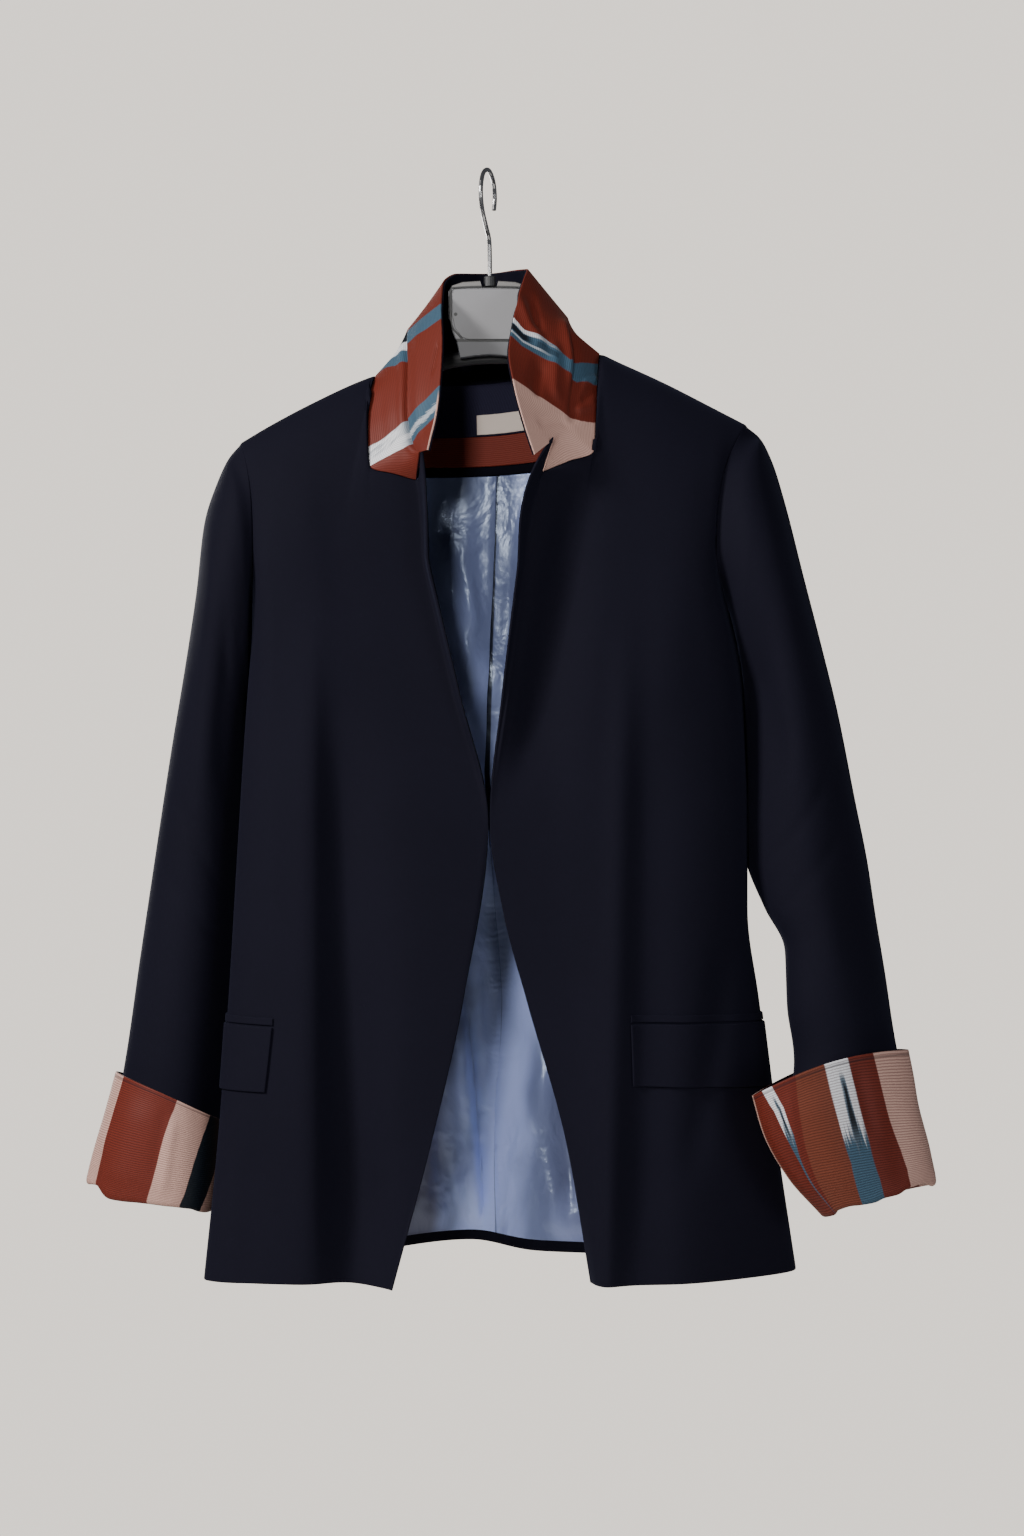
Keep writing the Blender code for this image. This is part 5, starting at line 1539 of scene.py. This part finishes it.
LINING_FOLDS = table("""
crease x_top z_top x_foot z_foot wide_left wide_right deep
upper_soft -19 -227 -15 -464 6.3 7.9 3.4
upper_tilt -40 -236 -7 -366 5.5 5.5 3
upper_right 34 -236 19 -432 6.3 6.3 3.6
shade_fold -25 -661 -9 -849 11.1 3.2 11
low_left -48 -710 -56 -849 6.3 6.3 7
low_bow -15 -603 -2 -759 4.7 6.3 3
low_right 38 -661 55 -857 9.5 11.1 5
low_far 79 -743 71 -857 5.5 5.5 3.4
low_tilt 21 -808 46 -710 4.7 7.1 2.4
""")


def slack(points, folds, free, off, pleat):
    """Points moved to the front by max(0, 2 + folds + 0.9 sin(x / 7 + 2 sin(z / 31)) sin(z / 19 + x / 23)
    - 1.2 exp(-(off / 2)^2) + pleat exp(off / 18)) times free. off is the distance from the centre seam;
    the pleat lies only on the wearer's right of it."""
    x, z = points[..., 0], points[..., 2]
    ground = np.stack([x, np.zeros_like(x), z], axis=-1)
    lift = 2 - creased(ground, folds, -1)[..., 1]
    lift += 0.9 * np.sin(x / 7 + 2 * np.sin(z / 31)) * np.sin(z / 19 + x / 23)
    lift += (off < 0) * pleat * np.exp(np.minimum(off, 0) / 18) - 1.2 * bell(off / 2)
    points = points.copy()
    points[..., 1] -= np.maximum(lift, 0) * free
    return points


class BLAZER_OT_lining(bpy.types.Operator):
    """The satin lining, in two halves that meet at the centre back"""

    bl_idname = "blazer.lining"
    bl_label = "Lining"

    def execute(self, context):
        own = context.scene.blazer_cloth
        cloth, top, foot = back(), NECK_V[2], LINING_FOOT
        under = -own.shell / MM - GAP
        half = LINING_GAP / cloth.width(0.5)
        seam = lambda w: np.interp(w, SEAM_AT, SEAM_U)
        for name, borders in (
            ("lining_right", (LINING_U[0] + SLIT, lambda w: seam(w) - half)),
            ("lining_left", (lambda w: seam(w) + half, LINING_U[1] - SLIT)),
        ):
            u, v = patch(cloth, borders, (top + WIDE_SLIT, foot), pattern(name)[3:])
            free = step_up(v, top, top + HELD_TOP) * (1 - step_up(v, foot - HELD_FOOT, foot))
            off = (u - seam((v - top) / (foot - top))) * cloth.width(0.6)
            points = slack(cloth.read(u, v)[0], LINING_FOLDS, free, off, np.interp(v, PLEAT_AT, PLEAT))
            out = normals(points) * cloth.side
            piece = Piece(f"{name}_cloth", cloth, points, out, under, under - own.satin / MM)
            piece.lay("seam", off * MM, v)
            piece.sew("lining_satin")
        return {"FINISHED"}


class BLAZER_OT_hanger(bpy.types.Operator):
    """Finishes of the hanger's own solids"""

    bl_idname = "blazer.hanger"
    bl_label = "Hanger"

    def execute(self, context):
        for name, look in (
            ("hanger_hook", "chrome"), ("hanger_ferrule", "dark_plastic"),
            ("hanger_plate", "grey_plastic"), ("hanger_arms", "dark_plastic"),
        ):
            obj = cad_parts[name]
            obj.data.materials.clear()
            obj.data.materials.append(finish(look))
        return {"FINISHED"}


# ---- the studio, in metres ---------------------------------------------------------------------

FLOOR_RADIUS, FLOOR_RINGS, FLOOR_SPOKES = 1.8, 12, 64
AMBIENT, AMBIENT_POWER = (0.62, 0.64, 0.70), 0.13  # what the surround sheds on the blazer
AIM = (0.0, 0.0, -0.5)  # the point that each light looks at
# Each light: its name and that of its power, its place, width and tint.
LIGHTS = (
    ("key", "key", (-3.0, -1.9, 1.35), 0.8, (1.0, 0.985, 0.96)),
    ("front", "front", (-0.58, -3.3, 0.42), 0.4, (1.0, 0.99, 0.97)),
    ("fill", "fill", (2.6, -2.4, -0.3), 1.4, (0.94, 0.97, 1.0)),
    ("behind", "rim", (-1.2, 3.2, -0.1), 1.6, (1.0, 0.99, 0.97)),
)
CAMERA_AT = (0.01896, -2.5, -0.4708)
SENSOR = 24.0  # millimetres
IN_VIEW = 1.2134  # the height at the blazer that fills the picture


def show(name, data, place, turn=(0, 0, 0)):
    """An object with this data in the scene."""
    obj = bpy.data.objects.new(name, data)
    bpy.context.scene.collection.objects.link(obj)
    obj.location, obj.rotation_euler = place, turn
    return obj


class BLAZER_OT_stage(bpy.types.Operator):
    """Pale floor, soft light and the camera"""

    bl_idname = "blazer.stage"
    bl_label = "Studio"

    def execute(self, context):
        own = context.scene.blazer_stage
        self.floor(own.floor)
        self.surround(own.wall)
        for name, power, place, size, tint in LIGHTS:
            light = bpy.data.lights.new(name, "AREA")
            light.shape, light.size, light.energy, light.color = "SQUARE", size, getattr(own, power), tint
            x, y, z = np.subtract(place, AIM)
            show(name, light, place, (math.atan2(math.hypot(x, y), z), 0, math.atan2(x, -y)))
        camera = bpy.data.cameras.new("camera")
        camera.sensor_fit, camera.sensor_height = "VERTICAL", SENSOR
        camera.lens = SENSOR * -CAMERA_AT[1] / IN_VIEW
        context.scene.camera = show("camera", camera, CAMERA_AT, (math.pi / 2, 0, 0))
        return {"FINISHED"}

    def floor(self, below):
        """A round floor of rings of four-cornered faces about a fan."""
        a = np.linspace(0, 2 * math.pi, FLOOR_SPOKES, endpoint=False)
        r = np.linspace(0, FLOOR_RADIUS, FLOOR_RINGS + 1)[1:]
        flat = np.stack([np.outer(r, np.cos(a)).ravel(), np.outer(r, np.sin(a)).ravel()], -1)
        points = np.column_stack([np.vstack([[0, 0], flat]), np.full(len(flat) + 1, -below)])
        j = np.arange(FLOOR_SPOKES)
        k = (j + 1) % FLOOR_SPOKES
        i = np.arange(FLOOR_RINGS - 1)[:, None] * FLOOR_SPOKES + 1
        fan = np.stack([0 * j, 1 + j, 1 + k], -1)
        rings = np.stack([i + j, i + FLOOR_SPOKES + j, i + FLOOR_SPOKES + k, i + k], -1).reshape(-1, 4)
        mesh = bpy.data.meshes.new("floor")
        mesh.from_pydata(points.tolist(), [], fan.tolist() + rings.tolist())
        mesh.materials.append(finish("floor"))
        obj = show("floor", mesh, (0, 0, 0))

    def surround(self, wall):
        """A world that is seen in one colour and lights the blazer with another."""
        world = bpy.context.scene.world = bpy.data.worlds.new("studio")
        world.use_nodes = True
        tree = world.node_tree
        tree.nodes.clear()
        seen, lit, shown, both, out = (
            tree.nodes.new("ShaderNode" + kind)
            for kind in ("LightPath", "Background", "Background", "MixShader", "OutputWorld")
        )
        shown.inputs[0].default_value = (*wall, 1)
        lit.inputs[0].default_value = (*AMBIENT, 1)
        lit.inputs[1].default_value = AMBIENT_POWER
        links = (seen.outputs["Is Camera Ray"], lit.outputs[0], shown.outputs[0])
        for output, place in zip((*links, both.outputs[0]), (*both.inputs, out.inputs[0])):
            tree.links.new(output, place)


STEPS = (
    BLAZER_OT_stage, BLAZER_OT_fronts, BLAZER_OT_back, BLAZER_OT_sleeves, BLAZER_OT_cuffs,
    BLAZER_OT_collar, BLAZER_OT_neck, BLAZER_OT_lining, BLAZER_OT_pockets, BLAZER_OT_hanger,
)


class BLAZER_PT_panel(bpy.types.Panel):
    """Lists the steps and the values that a user would change"""

    bl_label = "Blazer"
    bl_space_type = "VIEW_3D"
    bl_region_type = "UI"
    bl_category = "Blazer"

    def draw(self, context):
        """Draws them."""
        for group in (context.scene.blazer_cloth, context.scene.blazer_stage):
            for name in group.bl_rna.properties.keys():
                if name not in ("rna_type", "name"):
                    self.layout.prop(group, name)
        for step in STEPS:
            self.layout.operator(step.bl_idname)


CLASSES = (BlazerCloth, BlazerStage, *STEPS, BLAZER_PT_panel)


def register():
    """Adds the classes and the scene's two groups of values."""
    for cls in CLASSES:
        bpy.utils.register_class(cls)
    bpy.types.Scene.blazer_cloth = PointerProperty(type=BlazerCloth)
    bpy.types.Scene.blazer_stage = PointerProperty(type=BlazerStage)


def unregister():
    """Takes them away again."""
    del bpy.types.Scene.blazer_stage
    del bpy.types.Scene.blazer_cloth
    for cls in reversed(CLASSES):
        bpy.utils.unregister_class(cls)


def main():
    """Runs every step."""
    register()
    for step in STEPS:
        getattr(bpy.ops.blazer, step.bl_idname.split(".")[1])()


if __name__ == "__main__":
    main()
